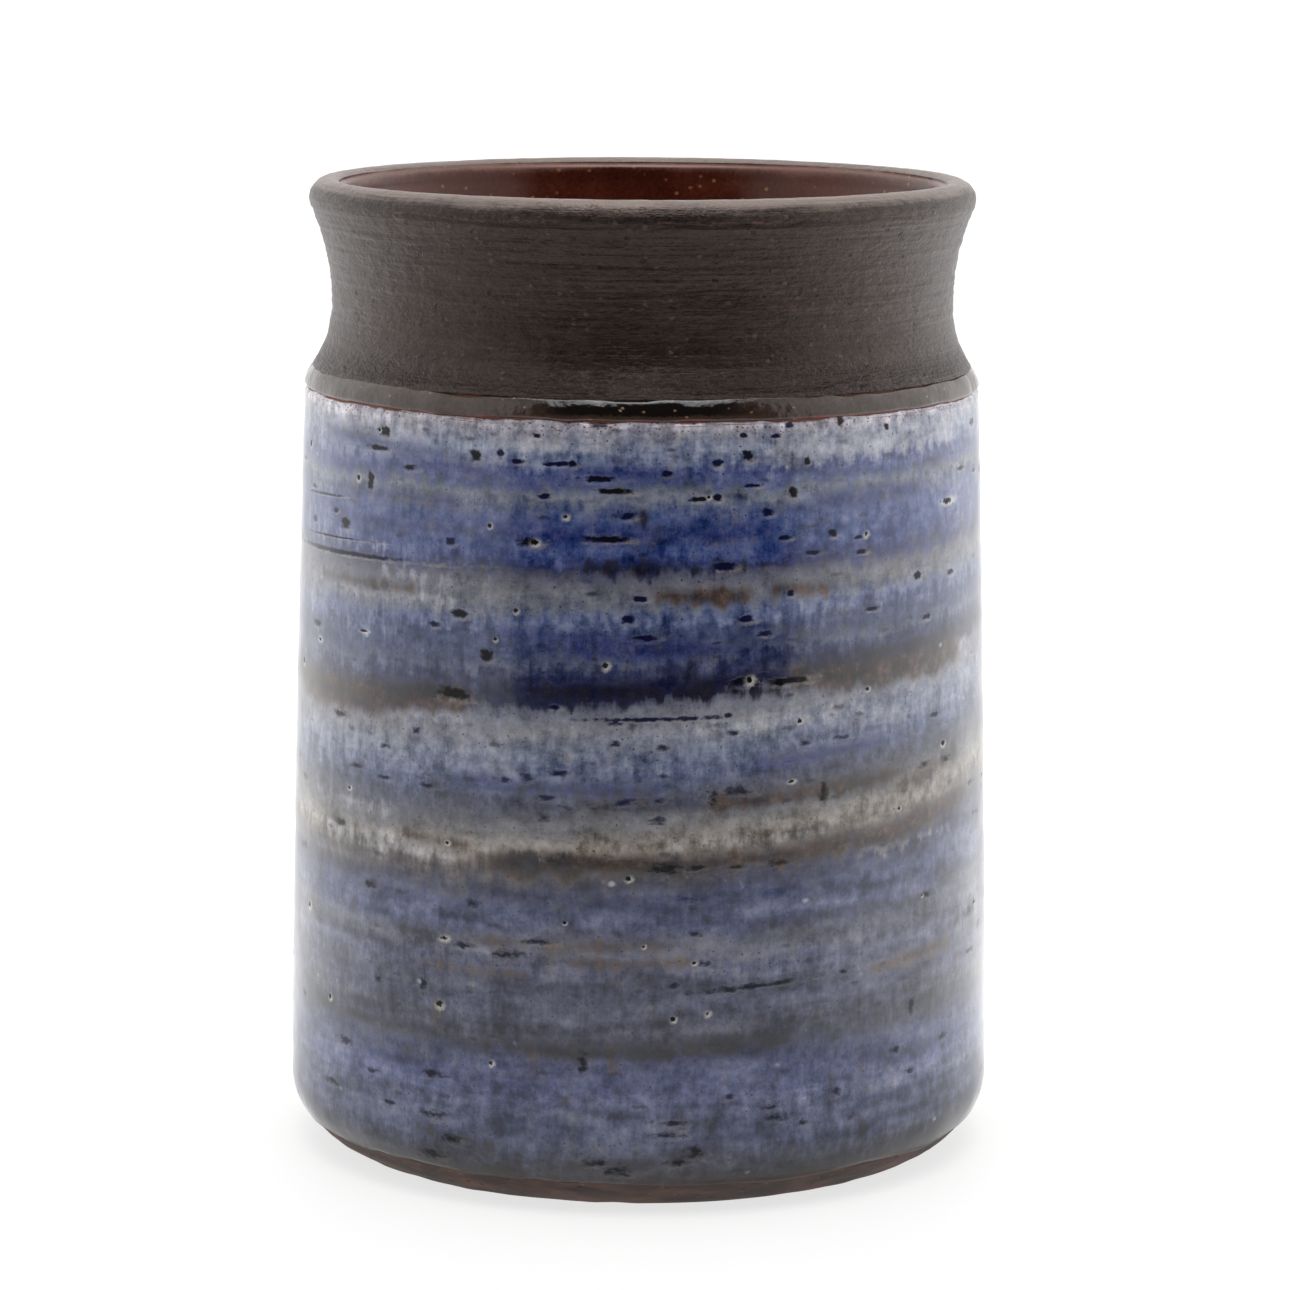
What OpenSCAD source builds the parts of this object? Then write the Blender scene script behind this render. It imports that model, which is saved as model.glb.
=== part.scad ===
// Wheel-thrown stoneware vase: a clay pot with a waisted neck, and the fired coats that cover it.
// Millimetres, +Z up. The origin is the centre of the ring the pot stands on.
// Each piece is one turned section, so its outline is drawn to the right of the Z axis and revolved.

/* [Overall] */
// Height of the finished vase, from the table to the top of the lip
total_h = 125; // [95:1:200]
// Widest diameter of the glazed body, just above the foot
body_d = 91.4; // [72:0.2:140]

/* [Body] */
// Wall thickness of the body, coats included
body_wall = 4.6; // [3.4:0.1:6.5]
// How much smaller the radius is at the shoulder than low down
shoulder_in = 2.2; // [0:0.1:5]
// How far the wall swells beyond a straight line half way up
belly = 0.25; // [0:0.05:1.5]
// Thickness of the clay floor at its middle, between the hollow under the foot and the liner
floor_t = 5.6; // [4:0.1:9]
// Radius of the corner between the inside wall and the floor
inner_corner = 10; // [6:0.5:14]

/* [Foot] */
// Height at which the curve above the foot runs out into the wall
heel_h = 9; // [7:0.5:14]
// How far the outer edge of the foot stands in from the clay wall above it
foot_in = 5.9; // [3:0.1:6.5]
// Width of the flat ring the vase stands on
foot_ring_w = 5; // [3:0.1:8]
// Depth of the hollow turned under the foot
foot_recess = 1; // [0.5:0.1:2]

/* [Neck] */
// Height over which the neck draws in, from the start of the shoulder curve to the narrowest place
draw_in_h = 10.8; // [8:0.2:18]
// Height over which the neck flares out again, from the narrowest place to the top of the lip
flare_h = 16; // [12:0.2:24]
// How far the neck draws in at its narrowest place, from the shoulder's radius
waist_in = 3.5; // [2:0.1:6]
// Radius of the rounded shoulder
shoulder_round = 4.5; // [2:0.1:6]
// Wall thickness at the narrowest place, coats included
neck_wall = 3.7; // [2.8:0.1:5]
// Drop from the start of the shoulder curve to where the inside wall begins to draw in
inside_lead = 10; // [4:0.5:16]

/* [Lip] */
// How far the lip flares out again, from the neck's narrowest radius
lip_out = 2.8; // [1.5:0.1:5]
// Radius of the lip's outer half
lip_round = 2.6; // [1.8:0.1:3.4]
// Radius of the lip's inner half
lip_inner_round = 1.9; // [1.2:0.1:2.6]

/* [Coats] */
// Thickness of the blue glaze above the foot
glaze_low_t = 0.45; // [0.3:0.05:1.4]
// Thickness of the blue glaze at its upper edge
glaze_top_t = 0.4; // [0.2:0.05:0.8]
// Height of the bare clay left below the blue glaze
bare_foot_h = 3.4; // [2:0.1:6]
// How far the blue glaze laps up onto the shoulder curve
blue_lap = 0.2; // [0:0.1:1]
// Height of the dark clear glaze around the shoulder, above the blue
shoulder_glaze_h = 2.6; // [1.5:0.1:5]
// Thickness of the iron wash on the neck and lip
wash_t = 0.2; // [0.1:0.05:0.4]
// Thickness of the liner glaze inside
liner_t = 0.5; // [0.3:0.05:0.9]
// Drop from the top of the lip to the upper edge of the liner glaze
liner_drop = 0.6; // [0.4:0.1:1]

/* [Hidden] */
// Angle between two points on a round stretch of an outline
arc_step = 5;
// Points up the wall, which is nearly straight
wall_points = 8;
// Width of the bands that cut the sections, wider than any vase the sizes allow
far = 100;
// How far a cut runs past the face it opens
past = 1;
// Points along the inside: down the flare, down the draw-in and down the body
flare_points = 8;
draw_in_points = 10;
body_points = 6;

// Radii and heights of the finished surface
body_r = body_d / 2;
shoulder_r = body_r - shoulder_in;
waist_r = shoulder_r - waist_in;
lip_r = waist_r + lip_out;
waist_z = total_h - flare_h;
shoulder_z = waist_z - draw_in_h;
lip_z = total_h - lip_round;
crest_r = lip_r - lip_round;
throat_r = waist_r - neck_wall;

// Curve above the foot: the clay's arc leaves the table at foot_r and meets the wall upright at heel_h
foot_r = body_r - glaze_low_t - foot_in;
heel_clay_round = (foot_in * foot_in + heel_h * heel_h) / (2 * foot_in);
heel_round = heel_clay_round + glaze_low_t;
heel_r = body_r - heel_round;
foot_ring_in_r = foot_r - foot_ring_w;

// Neck curves: two hollow arcs that meet upright at the waist.
// The lower one also touches the rounded shoulder, and the upper one the lip.
lower_reach = (waist_in * waist_in + draw_in_h * draw_in_h) / (2 * waist_in);
lower_round = lower_reach - shoulder_round;
lower_turn = asin(draw_in_h / lower_reach);
lip_rise = lip_z - waist_z;
upper_reach = (lip_out * lip_out + lip_rise * lip_rise) / (2 * lip_out);
upper_round = upper_reach - lip_round;
upper_turn = asin(lip_rise / upper_reach);

// Inside surface
floor_z = foot_recess + floor_t + liner_t;
inner_lip_z = total_h - lip_inner_round;
inner_lip_turn = atan(2 * (crest_r - lip_inner_round - throat_r) / (inner_lip_z - waist_z));
inner_neck_z = shoulder_z - inside_lead;

// Heights where one coat gives way to the next
blue_top_z = shoulder_z + blue_lap;
dark_top_z = blue_top_z + shoulder_glaze_h;
liner_top_z = total_h - liner_drop;

// Points of an arc about a centre, from one angle to another
function arc(centre, radius, from, to) =
    let (steps = max(2, ceil(abs(to - from) / arc_step)))
    [for (i = [0 : steps])
        let (angle = from + (to - from) * i / steps)
        centre + radius * [cos(angle), sin(angle)]];

// Radius of the finished wall at a share of the way from the heel to the shoulder
function wall_r(share) = body_r - shoulder_in * share + 4 * belly * share * (1 - share);

// Outside surface from the table to the crest of the lip.
// It lies `low` under the finished surface at the heel and `high` under it from the shoulder up.
function outside(low, high) = concat(
    arc([heel_r, heel_h], heel_round - low, -asin(heel_h / (heel_round - low)), 0),
    [for (i = [1 : wall_points - 1])
        let (share = i / wall_points)
        [wall_r(share) - low + (low - high) * share, heel_h + (shoulder_z - heel_h) * share]],
    arc([shoulder_r - shoulder_round, shoulder_z], shoulder_round - high, 0, lower_turn),
    arc([waist_r + lower_round, waist_z], lower_round + high, 180 + lower_turn, 180),
    arc([waist_r + upper_round, waist_z], upper_round + high, 180, 180 - upper_turn),
    arc([crest_r, lip_z], lip_round - high, -upper_turn, 90));

// Inside radius between the floor's corner and the throat, eased into the narrowing neck
function hollow_wall_r(z) =
    let (share = (z - heel_h) / (shoulder_z - heel_h),
         ease = z < inner_neck_z ? 0 : (1 - cos(180 * (z - inner_neck_z) / (waist_z - inner_neck_z))) / 2,
         below = wall_r(min(share, 1)) - body_wall)
    below + (throat_r - below) * ease;

// Inside surface from the crest of the lip down to the middle of the floor.
// It lies `deep` under the liner's face.
function inside(deep) =
    let (corner = inner_corner + deep,
         corner_z = floor_z + inner_corner,
         lip_end = 180 + inner_lip_turn,
         edge = [crest_r, inner_lip_z] + lip_inner_round * [cos(lip_end), sin(lip_end)])
    concat(
        arc([crest_r, inner_lip_z], lip_inner_round - deep, 90, lip_end),
        [for (i = [flare_points - 1 : -1 : 1])
            let (share = i / flare_points)
            [throat_r + deep + (edge[0] - throat_r) * share * share,
                waist_z + (edge[1] - waist_z) * share]],
        [for (i = [draw_in_points : -1 : 0])
            let (z = inner_neck_z + (waist_z - inner_neck_z) * i / draw_in_points)
            [hollow_wall_r(z) + deep, z]],
        [for (i = [body_points - 1 : -1 : 1])
            let (z = corner_z + (inner_neck_z - corner_z) * i / body_points)
            [hollow_wall_r(z) + deep, z]],
        arc([hollow_wall_r(corner_z) - inner_corner, corner_z], corner, 0, -90),
        [[0, floor_z - deep]]);

// Half section of the pot out to given depths under the finished surface
module section(low, high, deep) {
    polygon(concat([[0, 0]], outside(low, high), inside(deep)));
}

// The part of a half section between two heights
module between(bottom, top) {
    intersection() {
        children();
        translate([0, bottom]) square([far, top - bottom]);
    }
}

// Skin on the outside, down to the given depths, between two heights
module outer_skin(low, high, bottom, top) {
    between(bottom, top) difference() {
        section(0, 0, 0);
        section(low, high, 0);
    }
}

// Skin on the inside, down to the given depth, between two heights
module inner_skin(deep, bottom, top) {
    between(bottom, top) difference() {
        section(0, 0, 0);
        section(0, 0, deep);
    }
}

// Iron wash: the outside of the neck, over the lip, and down to the liner
module wash_section() {
    outer_skin(wash_t, wash_t, dark_top_z, total_h + past);
    inner_skin(wash_t, liner_top_z, total_h + past);
}

// Thrown pot: floor, wall, shoulder, neck and lip in one, with a ring left standing under the foot
module clay_body() {
    color([0.24, 0.16, 0.12]) rotate_extrude() difference() {
        section(0, 0, 0);
        outer_skin(glaze_low_t, glaze_top_t, 0, blue_top_z);
        outer_skin(glaze_top_t, glaze_top_t, blue_top_z, dark_top_z);
        wash_section();
        inner_skin(liner_t, 0, liner_top_z);
        polygon([[0, -past], [foot_ring_in_r, -past], [foot_ring_in_r, 0],
            [foot_ring_in_r - foot_recess, foot_recess], [0, foot_recess]]);
    }
}

// Blue glaze on the outside of the body, from above the foot to the shoulder
module blue_glaze() {
    color([0.36, 0.42, 0.60])
        rotate_extrude() outer_skin(glaze_low_t, glaze_top_t, bare_foot_h, blue_top_z);
}

// Dark clear glaze around the shoulder, between the blue and the bare neck
module shoulder_glaze() {
    color([0.14, 0.11, 0.10])
        rotate_extrude() outer_skin(glaze_top_t, glaze_top_t, blue_top_z, dark_top_z);
}

// Iron wash brushed on the neck and lip
module neck_wash() {
    color([0.20, 0.17, 0.16]) rotate_extrude() wash_section();
}

// Red-brown glaze poured in and out again: walls, throat and floor of the inside
module liner_glaze() {
    color([0.30, 0.14, 0.08]) rotate_extrude() inner_skin(liner_t, 0, liner_top_z);
}

clay_body();
blue_glaze();
shoulder_glaze();
neck_wash();
liner_glaze();
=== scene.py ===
# %% [markdown]
# # A wheel-thrown stoneware vase
# A thrown pot is one turned wall of clay with several thin coats fired onto it. In Blender each coat can be
# its own closed skin: a profile in radius and height, carried round the axis, and then pushed in and out by
# small amounts where hands, tools and running glaze left their marks. This file builds those skins one after
# another, gives each a node material, and sets up a plain white tent to look at them in.

import math

import bpy
import numpy as np
from mathutils import Matrix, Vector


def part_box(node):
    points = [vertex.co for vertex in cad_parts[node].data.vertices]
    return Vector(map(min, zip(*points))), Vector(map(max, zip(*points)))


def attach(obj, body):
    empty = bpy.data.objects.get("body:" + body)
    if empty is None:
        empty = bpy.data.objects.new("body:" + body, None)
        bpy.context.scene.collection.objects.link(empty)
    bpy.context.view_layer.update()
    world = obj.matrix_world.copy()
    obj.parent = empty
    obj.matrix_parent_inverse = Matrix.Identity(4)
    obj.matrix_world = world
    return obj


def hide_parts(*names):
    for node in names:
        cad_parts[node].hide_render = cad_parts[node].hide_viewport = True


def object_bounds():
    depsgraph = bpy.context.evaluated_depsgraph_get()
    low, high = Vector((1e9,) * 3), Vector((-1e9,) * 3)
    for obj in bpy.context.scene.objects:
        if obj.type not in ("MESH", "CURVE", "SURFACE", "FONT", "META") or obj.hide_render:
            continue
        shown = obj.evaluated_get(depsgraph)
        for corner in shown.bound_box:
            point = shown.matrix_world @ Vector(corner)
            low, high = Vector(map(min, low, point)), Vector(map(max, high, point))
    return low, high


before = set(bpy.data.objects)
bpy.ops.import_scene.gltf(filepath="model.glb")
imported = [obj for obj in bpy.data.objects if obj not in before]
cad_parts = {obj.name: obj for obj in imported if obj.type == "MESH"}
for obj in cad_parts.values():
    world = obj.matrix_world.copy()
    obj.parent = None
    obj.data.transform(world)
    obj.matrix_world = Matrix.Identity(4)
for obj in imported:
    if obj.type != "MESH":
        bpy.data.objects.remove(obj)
cad_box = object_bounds()
print("CAD box, metres:", cad_box)

# %% [markdown]
# ## Sizes
# The frame already knows where each coat starts and stops, so heights and the largest radii are read from its
# boxes. The few sizes that a box can't tell, such as the radius of the rounded shoulder, are named here in
# metres. Everything else is worked out from them.

# %% Sizes read from the frame, and the few that are named
MM = 0.001
blue_low, blue_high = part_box("blue_glaze")
_, dark_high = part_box("shoulder_glaze")
_, wash_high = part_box("neck_wash")
liner_low, liner_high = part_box("liner_glaze")
total_h = cad_box[1][2]
body_r = blue_high[0]
lip_r = wash_high[0]
foot_line = blue_low[2]
blue_top = blue_high[2]
dark_top = dark_high[2]
liner_top = liner_high[2]

blue_lap = 0.2 * MM
shoulder_in = 2.2 * MM
belly = 0.25 * MM
heel_h = 9 * MM
foot_in = 5.9 * MM
foot_ring_w = 5 * MM
foot_recess = 1 * MM
shoulder_round = 4.5 * MM
waist_in = 3.5 * MM
flare_h = 16 * MM
lip_round = 2.6 * MM
lip_inner_round = 1.9 * MM
neck_wall = 3.7 * MM
body_wall = 4.6 * MM
inner_corner = 10 * MM
inside_lead = 10 * MM
glaze_low_t = 0.45 * MM
glaze_top_t = 0.4 * MM
wash_t = 0.2 * MM
liner_t = 0.5 * MM

shoulder_z = blue_top - blue_lap
shoulder_r = body_r - shoulder_in
waist_r = shoulder_r - waist_in
waist_z = total_h - flare_h
lip_z = total_h - lip_round
crest_r = lip_r - lip_round
throat_r = waist_r - neck_wall
floor_z = liner_low[2] + liner_t
print("body radius %.1f mm, neck %.1f mm, lip %.1f mm" % (body_r / MM, waist_r / MM, lip_r / MM))

# %% [markdown]
# ## The turned outline
# A potter's profile is a chain of sweeping curves. Arcs that touch where they meet give the same chain: the
# curve above the foot, the nearly straight wall, the rounded shoulder, two hollow arcs that make the waist,
# and the roll of the lip. An arc is a centre plus a radius times the cosine and sine of an angle, and two arcs
# touch when the distance between their centres is the sum of their radii.

# %% Outline helpers
def arc(centre, radius, start, end, count=40):
    """Points on a circle: centre + radius * (cos a, sin a), with a going evenly from start to end degrees."""
    angle = np.radians(np.linspace(start, end, count))
    return np.asarray(centre) + radius * np.stack([np.cos(angle), np.sin(angle)], axis=1)


def walked(path):
    """The distance walked along a path at each of its points."""
    return np.concatenate([[0.0], np.cumsum(np.linalg.norm(np.diff(path, axis=0), axis=1))])


def even(path, count):
    """The same path with count points spaced evenly along its length."""
    run = walked(path)
    moved_on = np.concatenate([[True], np.diff(run) > 1e-9])
    where = np.linspace(0.0, run[-1], count)
    run, path = run[moved_on], path[moved_on]
    return np.stack([np.interp(where, run, path[:, axis]) for axis in (0, 1)], axis=1)


def outward(path):
    """Unit vectors square to a path, on its right-hand side: (dz, -dr) made length one."""
    along = np.gradient(path, axis=0)
    along /= np.linalg.norm(along, axis=1, keepdims=True)
    return np.stack([along[:, 1], -along[:, 0]], axis=1)


def between(path, low, high):
    """The stretch of an upward path that lies between two heights, with both ends cut exactly."""
    inner = path[(path[:, 1] > low) & (path[:, 1] < high)]
    ends = [[np.interp(z, path[:, 1], path[:, 0]), z] for z in (low, high)]
    return np.vstack([ends[:1], inner, ends[1:]])


print("a quarter circle of radius 1 is %.4f long" % walked(arc((0, 0), 1, 0, 90))[-1])

# %% Radii and angles of the arcs
heel_clay_round = (foot_in**2 + heel_h**2) / (2 * foot_in)
heel_round = heel_clay_round + glaze_low_t
heel_r = body_r - heel_round
draw_in_h = waist_z - shoulder_z
lower_reach = (waist_in**2 + draw_in_h**2) / (2 * waist_in)
lower_turn = math.degrees(math.asin(draw_in_h / lower_reach))
lip_out = lip_r - waist_r
lip_rise = lip_z - waist_z
upper_reach = (lip_out**2 + lip_rise**2) / (2 * lip_out)
upper_turn = math.degrees(math.asin(lip_rise / upper_reach))
print("arcs turn %.0f degrees below the waist and %.0f above it" % (lower_turn, upper_turn))

# %% The outside
def wall(low, high):
    """The body wall: a straight taper from heel to shoulder plus 4 * belly * share * (1 - share)."""
    share = np.linspace(0.0, 1.0, 60)
    radius = body_r - low + (low - high - shoulder_in) * share + 4 * belly * share * (1 - share)
    return np.stack([radius, heel_h + (shoulder_z - heel_h) * share], axis=1)


def outside(low, high):
    """The outside from the table to the crest of the lip.

    It lies low under the finished surface at the heel and high under it from the shoulder up."""
    heel = heel_round - low
    return np.vstack([
        arc((heel_r, heel_h), heel, -math.degrees(math.asin(min(1.0, heel_h / heel))), 0),
        wall(low, high)[1:-1],
        arc((shoulder_r - shoulder_round, shoulder_z), shoulder_round - high, 0, lower_turn),
        arc((waist_r + lower_reach - shoulder_round, waist_z), lower_reach - shoulder_round + high,
            180 + lower_turn, 180)[1:],
        arc((waist_r + upper_reach - lip_round, waist_z), upper_reach - lip_round + high,
            180, 180 - upper_turn)[1:],
        arc((crest_r, lip_z), lip_round - high, -upper_turn, 90)[1:],
    ])


print("outside outline points:", len(outside(0.0, 0.0)))

# %% The inside
def inside(deep):
    """The inside from the crest of the lip down to the middle of the floor, deep under the liner's face.

    The throat widens to the lip with the square of the height above the waist, and eases into the body with
    half a cosine wave."""
    lip_centre_z = total_h - lip_inner_round
    turn = math.atan(2 * (crest_r - lip_inner_round - throat_r) / (lip_centre_z - waist_z))
    edge_r = crest_r - lip_inner_round * math.cos(turn)
    edge_z = lip_centre_z - lip_inner_round * math.sin(turn)
    lip = arc((crest_r, lip_centre_z), lip_inner_round - deep, 90, 180 + math.degrees(turn))
    share = np.linspace(1.0, 0.0, 30)[1:]
    flare_r = throat_r + deep + (edge_r - throat_r) * share**2
    flare = np.stack([flare_r, waist_z + (edge_z - waist_z) * share], axis=1)
    corner_z = floor_z + inner_corner
    z = np.linspace(waist_z, corner_z, 80)[1:]
    lead_z = shoulder_z - inside_lead
    rise = np.clip((z - lead_z) / (waist_z - lead_z), 0, 1)
    up = np.clip((z - heel_h) / (shoulder_z - heel_h), 0, 1)
    below = body_r - shoulder_in * up + 4 * belly * up * (1 - up) - body_wall
    body = np.stack([below + (throat_r - below) * (1 - np.cos(np.pi * rise)) / 2 + deep, z], axis=1)
    corner = arc((body[-1, 0] - deep - inner_corner, corner_z), inner_corner + deep, 0, -90)
    return np.vstack([lip, flare, body, corner[1:], [[0.0, floor_z - deep]]])


print("inside outline points:", len(inside(0.0)))

# %% [markdown]
# ## Noise that closes on itself
# Clay and glaze are never quite even. Relief that goes right round a pot has to meet itself at the back, so
# the noise here is laid on a lattice whose columns wrap: random heights at the lattice points, joined by the
# smooth step 3t^2 - 2t^3 in both directions. A fixed seed makes every run the same.

# %% Wrapping noise
def soft_noise(turn, height, cells, cell_h, seed):
    """Lattice noise from -1 to 1: cells columns round the pot, rows cell_h apart, blended by smooth steps."""
    rows = 80
    turn, height = np.broadcast_arrays(turn, height)
    lattice = np.random.default_rng(seed).uniform(-1.0, 1.0, (cells, rows))
    across = (turn / (2 * np.pi) + 0.5) * cells
    up = height / cell_h + 7.0
    i, j = np.floor(across).astype(int), np.floor(up).astype(int)
    s, t = across - i, up - j
    s, t = s * s * (3 - 2 * s), t * t * (3 - 2 * t)
    near, far = lattice[i % cells], lattice[(i + 1) % cells]
    pick = lambda column, row: np.take_along_axis(column, (row % rows)[..., None], axis=-1)[..., 0]
    low = pick(near, j) * (1 - s) + pick(far, j) * s
    high = pick(near, j + 1) * (1 - s) + pick(far, j + 1) * s
    return low * (1 - t) + high * t


def layered(turn, height, *layers):
    """The sum of lattice noises, each given as its size, columns round the pot, row height in mm, and seed."""
    return sum(size * soft_noise(turn, height, cells, cell * MM, seed) for size, cells, cell, seed in layers)


def steps_up(edge0, edge1, value):
    """Smooth step: 0 below edge0, 1 above edge1, and 3t^2 - 2t^3 between."""
    t = np.clip((value - edge0) / (edge1 - edge0), 0.0, 1.0)
    return t * t * (3 - 2 * t)


seam = soft_noise(np.array([-math.pi, math.pi]), np.zeros(2), 12, MM, 1)
print("noise on both sides of the seam: %.3f and %.3f" % tuple(seam))

# %% [markdown]
# ## Turning a path into a skin
# A skin is a grid: one direction runs along the profile, the other round the axis. A point at profile radius r
# and turn a sits at (r sin a, -r cos a, z), so turn 0 faces the viewer. Coats are closed loops of profile, with
# a shown face and a hidden face against the clay. A profile that starts and ends on the axis gets one point at
# each pole instead of a ring of points on top of each other. The grid's own turn and height are kept on the
# face corners, where the last column can say 180 degrees instead of jumping back to -180.

# %% Turned skins
def link_mesh(name, points, faces):
    """An object in the scene with a smooth mesh from points and faces."""
    mesh = bpy.data.meshes.new(name)
    mesh.from_pydata(points, [], faces)
    mesh.polygons.foreach_set("use_smooth", np.ones(len(mesh.polygons), dtype=bool))
    piece = bpy.data.objects.new(name, mesh)
    bpy.context.scene.collection.objects.link(piece)
    return piece


def turned(name, radius, height, poles, shown):
    """A mesh from two arrays of shape (rows, columns): x = r sin a, y = -r cos a, z = height.

    poles joins the first and the last row to one point on the axis each; otherwise the rows close in a loop.
    shown is True for each row that can be seen. Returns the object and its face corners' rows and columns."""
    rows, columns = radius.shape
    turn = turns(columns)
    points = np.stack([radius * np.sin(turn), -radius * np.cos(turn), height], axis=-1).reshape(-1, 3)
    row = np.arange(rows - 1 if poles else rows)
    row_grid, col_grid = (g.ravel() for g in np.meshgrid(row, np.arange(columns), indexing="ij"))
    corner_row = np.stack([row_grid, row_grid, row_grid + 1, row_grid + 1], axis=1)
    corner_col = np.stack([col_grid, col_grid + 1, col_grid + 1, col_grid], axis=1)
    quads = ((corner_row % rows) * columns + corner_col % columns).tolist()
    if poles:
        first, last = len(points), len(points) + 1
        points = np.vstack([points, [[0, 0, height[0].mean()], [0, 0, height[-1].mean()]]])
        here, top = np.arange(columns), (rows - 1) * columns
        after = (here + 1) % columns
        quads += np.stack([np.full(columns, first), after, here], axis=1).tolist()
        quads += np.stack([np.full(columns, last), top + here, top + after], axis=1).tolist()
    piece = link_mesh(name, points.tolist(), quads)
    lay_flat(piece.data, radius, height, corner_row, corner_col, np.asarray(shown))
    print("%s: %d points, %d faces" % (name, len(points), len(quads)))
    return piece, corner_row, corner_col


def turns(columns):
    """The turn of each column, from -pi at the back, through 0 at the front."""
    return -np.pi + 2 * np.pi * np.arange(columns) / columns


print("turns of 4 columns, degrees:", np.degrees(turns(4)).tolist())

# %% A flat layout for each skin
STRIP_V, STRIP_GAP = 0.47, 0.5
EDGE_U, EDGE_V = 0.01, 0.015
HIDDEN_SHARE = 0.1


def lay_flat(mesh, radius, height, corner_row, corner_col, shown):
    """A flat layout for the skin: its front half and its back half as two long strips, one over the other.

    Along a strip u runs with the turn. Across it v runs with the profile, and hidden rows get a tenth of
    their width."""
    columns = radius.shape[1]
    loop_r = np.append(radius.mean(axis=1), radius[0].mean())
    loop_z = np.append(height.mean(axis=1), height[0].mean())
    width = np.hypot(np.diff(loop_r), np.diff(loop_z))
    width = width * np.where(shown & np.roll(shown, -1), 1.0, HIDDEN_SHARE)
    run = np.concatenate([[0.0], np.cumsum(width)])
    run /= run[corner_row.max()]
    centre_col = corner_col.mean(axis=1, keepdims=True)
    front = (centre_col > columns / 4) & (centre_col < columns * 3 / 4)
    share = corner_col / columns
    back = np.where(centre_col < columns / 4, share * 2 + 0.5, share * 2 - 1.5)
    u = np.where(front, (share - 0.25) * 2, back)
    v = STRIP_V * run[corner_row] + np.where(front, STRIP_GAP + EDGE_V, EDGE_V)
    uv = np.zeros((len(mesh.loops), 2), dtype=np.float32)
    count = corner_row.size
    uv[:count, 0] = (EDGE_U + (1 - 2 * EDGE_U) * u).ravel()
    uv[:count, 1] = v.ravel()
    fan = np.arange(len(mesh.loops) - count)
    uv[count:, 0] = EDGE_U + (1 - 2 * EDGE_U) * (fan // 3 % columns) / columns + 0.0005 * (fan % 3)
    uv[count:, 1] = 0.001 + 0.003 * (fan % 3 == 0) + 0.989 * (fan >= len(fan) // 2)
    mesh.uv_layers.new(name="OFBake").data.foreach_set("uv", uv.ravel())


print("strips: front from v = %.3f, back from v = %.3f" % (STRIP_GAP + EDGE_V, EDGE_V))

# %% Coats and their edges
def keep(piece, name, values, domain):
    """Stores three numbers for every point, or for every face corner so that they may jump between faces."""
    mesh = piece.data
    size = len(mesh.loops) if domain == "CORNER" else len(mesh.vertices)
    full = np.zeros((size, 3), dtype=np.float32)
    full[: values.shape[0]] = values
    mesh.attributes.new(name, "FLOAT_VECTOR", domain).data.foreach_set("vector", full.ravel())


def coat_rows(path, start, stop, count, thickness, relief, slide, hidden=8):
    """Radius and height of every grid point of a coat, as arrays of shape (count + hidden, columns).

    The shown rows stand on the path between two distances along it, moved along it by slide and pushed out
    by relief. The hidden rows run back under them, thickness deeper, on the face that sits on the clay."""
    run, normal = walked(path), outward(path)
    where = np.linspace(start, stop, count)[:, None] + slide
    radius, height = np.interp(where, run, path[:, 0]), np.interp(where, run, path[:, 1])
    push_r, push_z = np.interp(where, run, normal[:, 0]), np.interp(where, run, normal[:, 1])
    back = np.linspace(count - 1, 0, hidden).round().astype(int)
    deep = np.broadcast_to(thickness, (count, 1))
    rows_r = np.vstack([radius + push_r * relief, (radius - push_r * deep)[back]])
    rows_z = np.vstack([height + push_z * relief, (height - push_z * deep)[back]])
    return rows_r, rows_z


def rounded(distance, width, thickness):
    """The drop of a coat's face near an edge: thickness * (1 - sqrt(1 - s^2)), with s falling from 1 to 0."""
    inward = np.clip(1 - distance / width, 0, 1)
    return -thickness * (1 - np.sqrt(1 - inward**2))


def finish_piece(piece, node, material):
    """Puts a finished skin in the place of its CAD node, on the same body and its material."""
    piece.data.materials.append(material)
    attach(piece, "root")
    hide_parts(node)


print("a coat 0.4 mm thick drops %.2f mm at its edge" % (-rounded(0.0, 1.0, 0.4)))

# %% [markdown]
# ## Where the glaze bands, stains and spots lie
# The blue glaze lies in bands that climb a little from left to right, because the pot turned while it was
# banded. The climb is a * sin(turn) + b * (1 - cos(turn)), with a and b changing slowly up the pot, so a band
# always meets itself at the back. The height less this climb is the band height that the colours follow.

# %% The climb of the bands
DEG = math.pi / 180
REF_R = 45 * MM
climb_at = np.array([0, 10, 22, 35, 46, 66, 80, 98]) * MM
climb_sine = np.array([0.3, 0.6, 0.9, 1.6, 3.8, 4.1, 1.2, 0.4]) * MM
climb_back = np.array([0.0, 0.0, 0.4, 1.0, 3.0, 0.9, 0.4, 0.2]) * MM


def band_height(turn, height):
    """The height less the climb of the band that passes there."""
    sine = np.interp(height, climb_at, climb_sine)
    back = np.interp(height, climb_at, climb_back)
    return height - sine * np.sin(turn) - back * (1 - np.cos(turn))


side_climb = (60 * MM - band_height(np.array(math.pi / 2), 60 * MM)) / MM
print("a band at 60 mm climbs %.1f mm by the right-hand side" % side_climb)
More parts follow.
